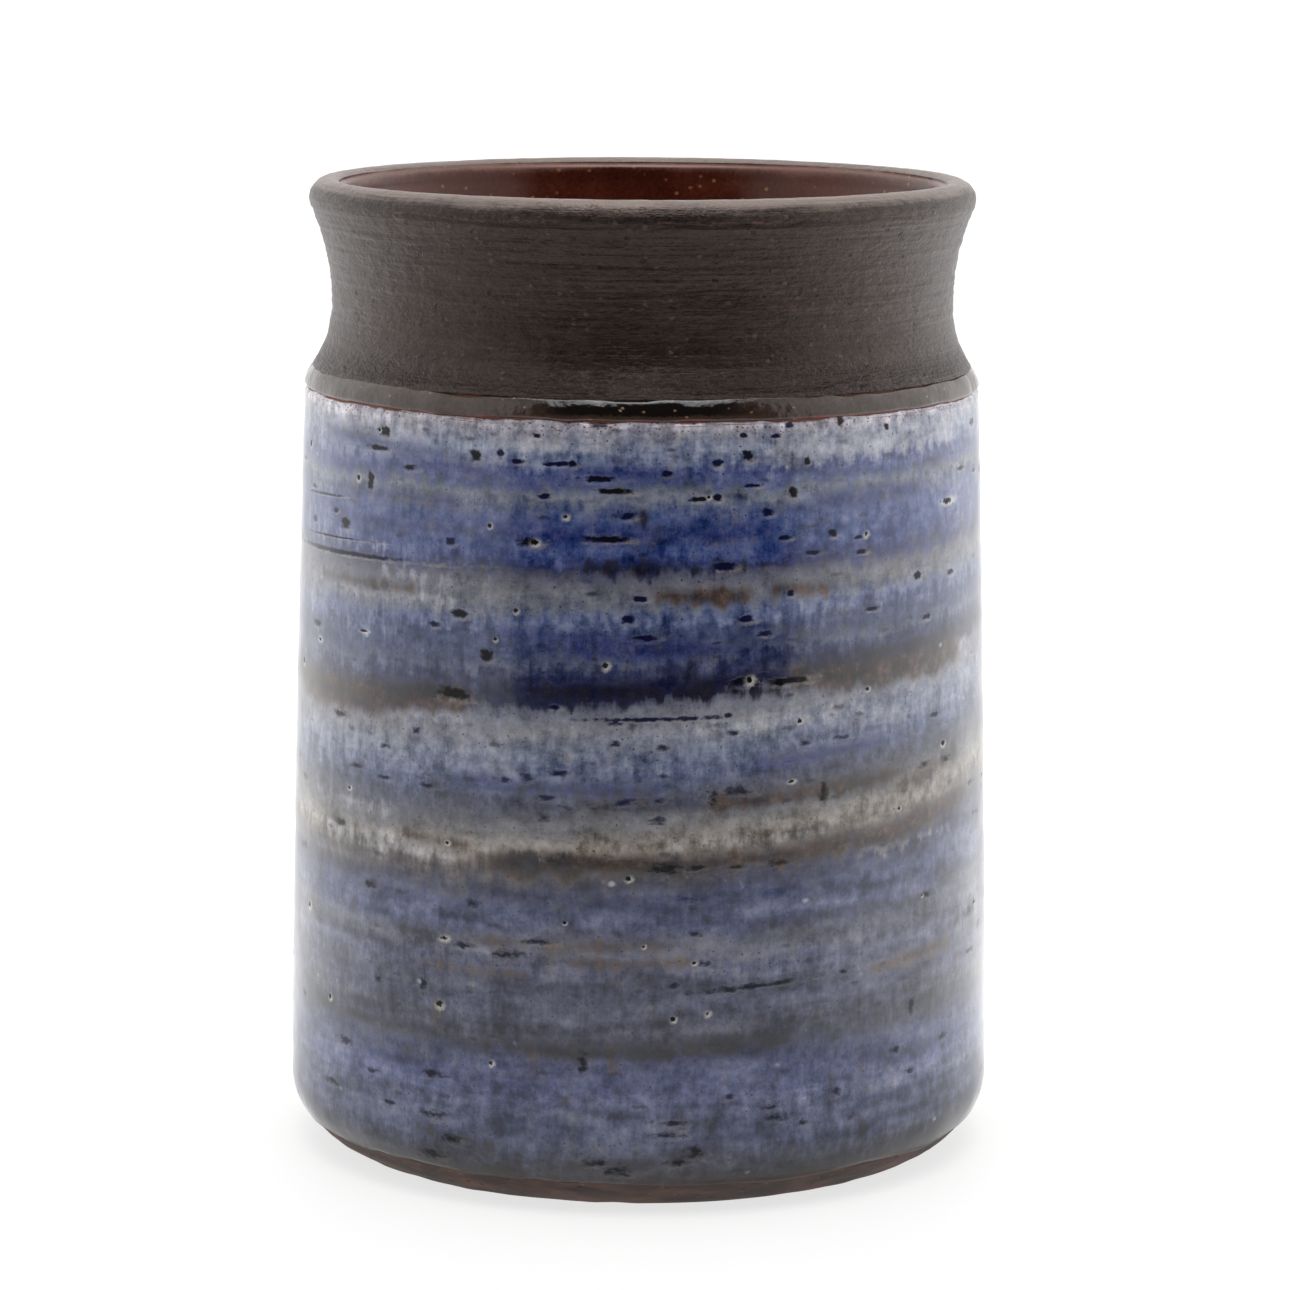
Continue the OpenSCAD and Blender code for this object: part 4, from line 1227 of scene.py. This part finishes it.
# %% The world and the table
def tent():
    """Light by direction: bright cloth, a soft-edged dark gap in front, and a lamp above the gap."""
    world = bpy.data.worlds.new("tent")
    bpy.context.scene.world = world
    world.use_nodes = True
    n = Nodes(world.node_tree)
    background = n.tree.nodes["Background"]
    right, back, up = n.apart(n.add("ShaderNodeTexCoord").outputs["Generated"])
    side = n.math("DEGREES", n.math("ARCTAN2", right, n.times(back, -1.0)))
    rise = n.math("DEGREES", n.math("ARCSINE", up))
    gap_left, gap_right, gap_top, soft_side, soft_top = -50.0, 46.0, 52.0, 11.0, 6.0
    in_left = n.step(side, gap_left, gap_left + soft_side)
    between_sides = n.math("SUBTRACT", in_left, n.step(side, gap_right, gap_right + soft_side))
    over_top = n.step(rise, gap_top, gap_top + soft_top)
    below_top = n.math("SUBTRACT", 1.0, over_top)
    gap = n.times(between_sides, below_top)
    far_left, far_right = n.step(n.times(side, -1.0), 50.0, 110.0), n.step(side, 45.0, 105.0)
    cloth = n.math("MULTIPLY_ADD", far_left, 0.45, n.math("MULTIPLY_ADD", far_right, 0.6, 1.1))
    cloth = n.times(cloth, n.math("MULTIPLY_ADD", n.step(rise, 38.0, 60.0), -0.4, 1.0))
    cloth = n.math("MULTIPLY_ADD", n.step(rise, 60.0, 76.0), 3.4, cloth)
    lamp = n.times(n.times(between_sides, over_top), 2.6)
    light = n.times(n.math("ADD", cloth, lamp), n.math("SUBTRACT", 1.0, gap))
    light = n.math("MULTIPLY_ADD", gap, 0.035, light)
    n.feed(light, background.inputs["Strength"])
    background.inputs["Color"].default_value = (1.0, 1.0, 1.0, 1.0)
    print("tent: dark gap of %d degrees in front" % (gap_right - gap_left))


def sweep():
    """A white table that curves up behind: flat for flat_to, a quarter circle, then straight up. Its whiteness
    is mostly a painted glow, stronger to the left and right and dimmer close to the pot.
    """
    flat_to, curve_r, near_edge, high_edge, half_wide, under_pot = 0.45, 0.5, -0.37, 1.6, 1.3, 0.0001
    curve = arc((flat_to, curve_r), curve_r, -90, 0, 24)
    profile = np.vstack([[[near_edge, 0.0]], curve, [[flat_to + curve_r, high_edge]]])
    points = [[x, y, z - under_pot] for y, z in profile for x in (-half_wide, half_wide)]
    faces = [[2 * i, 2 * i + 1, 2 * i + 3, 2 * i + 2] for i in range(len(profile) - 1)]
    table = link_mesh("table", points, faces)
    f = Finish("white_table")
    # Painted light: the table glows, more towards the left and right and less straight behind, and this extra
    # glow fades out close to the pot.
    away = f.length(f.side, f.back)
    direction = f.math("DEGREES", f.math("ARCTAN2", f.side, f.times(f.back, -1.0)))
    left, right = f.step(f.times(direction, -1.0), 60.0, 106.0), f.step(direction, 34.0, 90.0)
    behind = f.step(f.math("ABSOLUTE", direction), 122.0, 156.0, 1.0, 0.1)
    glow = f.times(f.total((left, 0.62), (right, 0.82)), behind)
    glow = f.math("MULTIPLY_ADD", glow, f.step(away, 0.05, 0.13), 0.72)
    f.set(Base_Color=(0.20, 0.198, 0.194, 1.0), Roughness=0.6)
    f.set(Emission_Color=(1.0, 1.0, 1.0, 1.0), Emission_Strength=glow)
    table.data.materials.append(f.material)


tent()
sweep()
print("table and tent ready")

# %% [markdown]
# ## The camera
# The lens stands a little above the lip, far back, with a long focal length, and is tilted down and rolled by
# a fraction of a degree. Its axes are worked out one by one, so the matrix is written straight from them.

# %% Camera and colour
camera = bpy.data.objects.new("camera", bpy.data.cameras.new("camera"))
bpy.context.scene.collection.objects.link(camera)
camera.data.lens = 135.66
camera.data.sensor_width = 36.0
camera.data.clip_start, camera.data.clip_end = 0.05, 20.0
tilt, roll = 0.1634, 0.0054
level_right, raised = np.array([1.0, 0.0, 0.0]), np.array([0.0, math.sin(tilt), math.cos(tilt)])
camera_right = math.cos(roll) * level_right + math.sin(roll) * raised
camera_up = math.cos(roll) * raised - math.sin(roll) * level_right
backwards = np.cross(camera_right, camera_up)
stand = (0.00059, -0.625, 0.16714)
axes = np.stack([camera_right, camera_up, backwards, stand], axis=1)
camera.matrix_world = Matrix(np.vstack([axes, [0, 0, 0, 1]]).tolist())
bpy.context.scene.camera = camera
bpy.context.scene.view_settings.view_transform = "Standard"
bpy.context.scene.view_settings.look = "None"
print("camera stands %.2f m in front, %.3f m up" % (-stand[1], stand[2]))
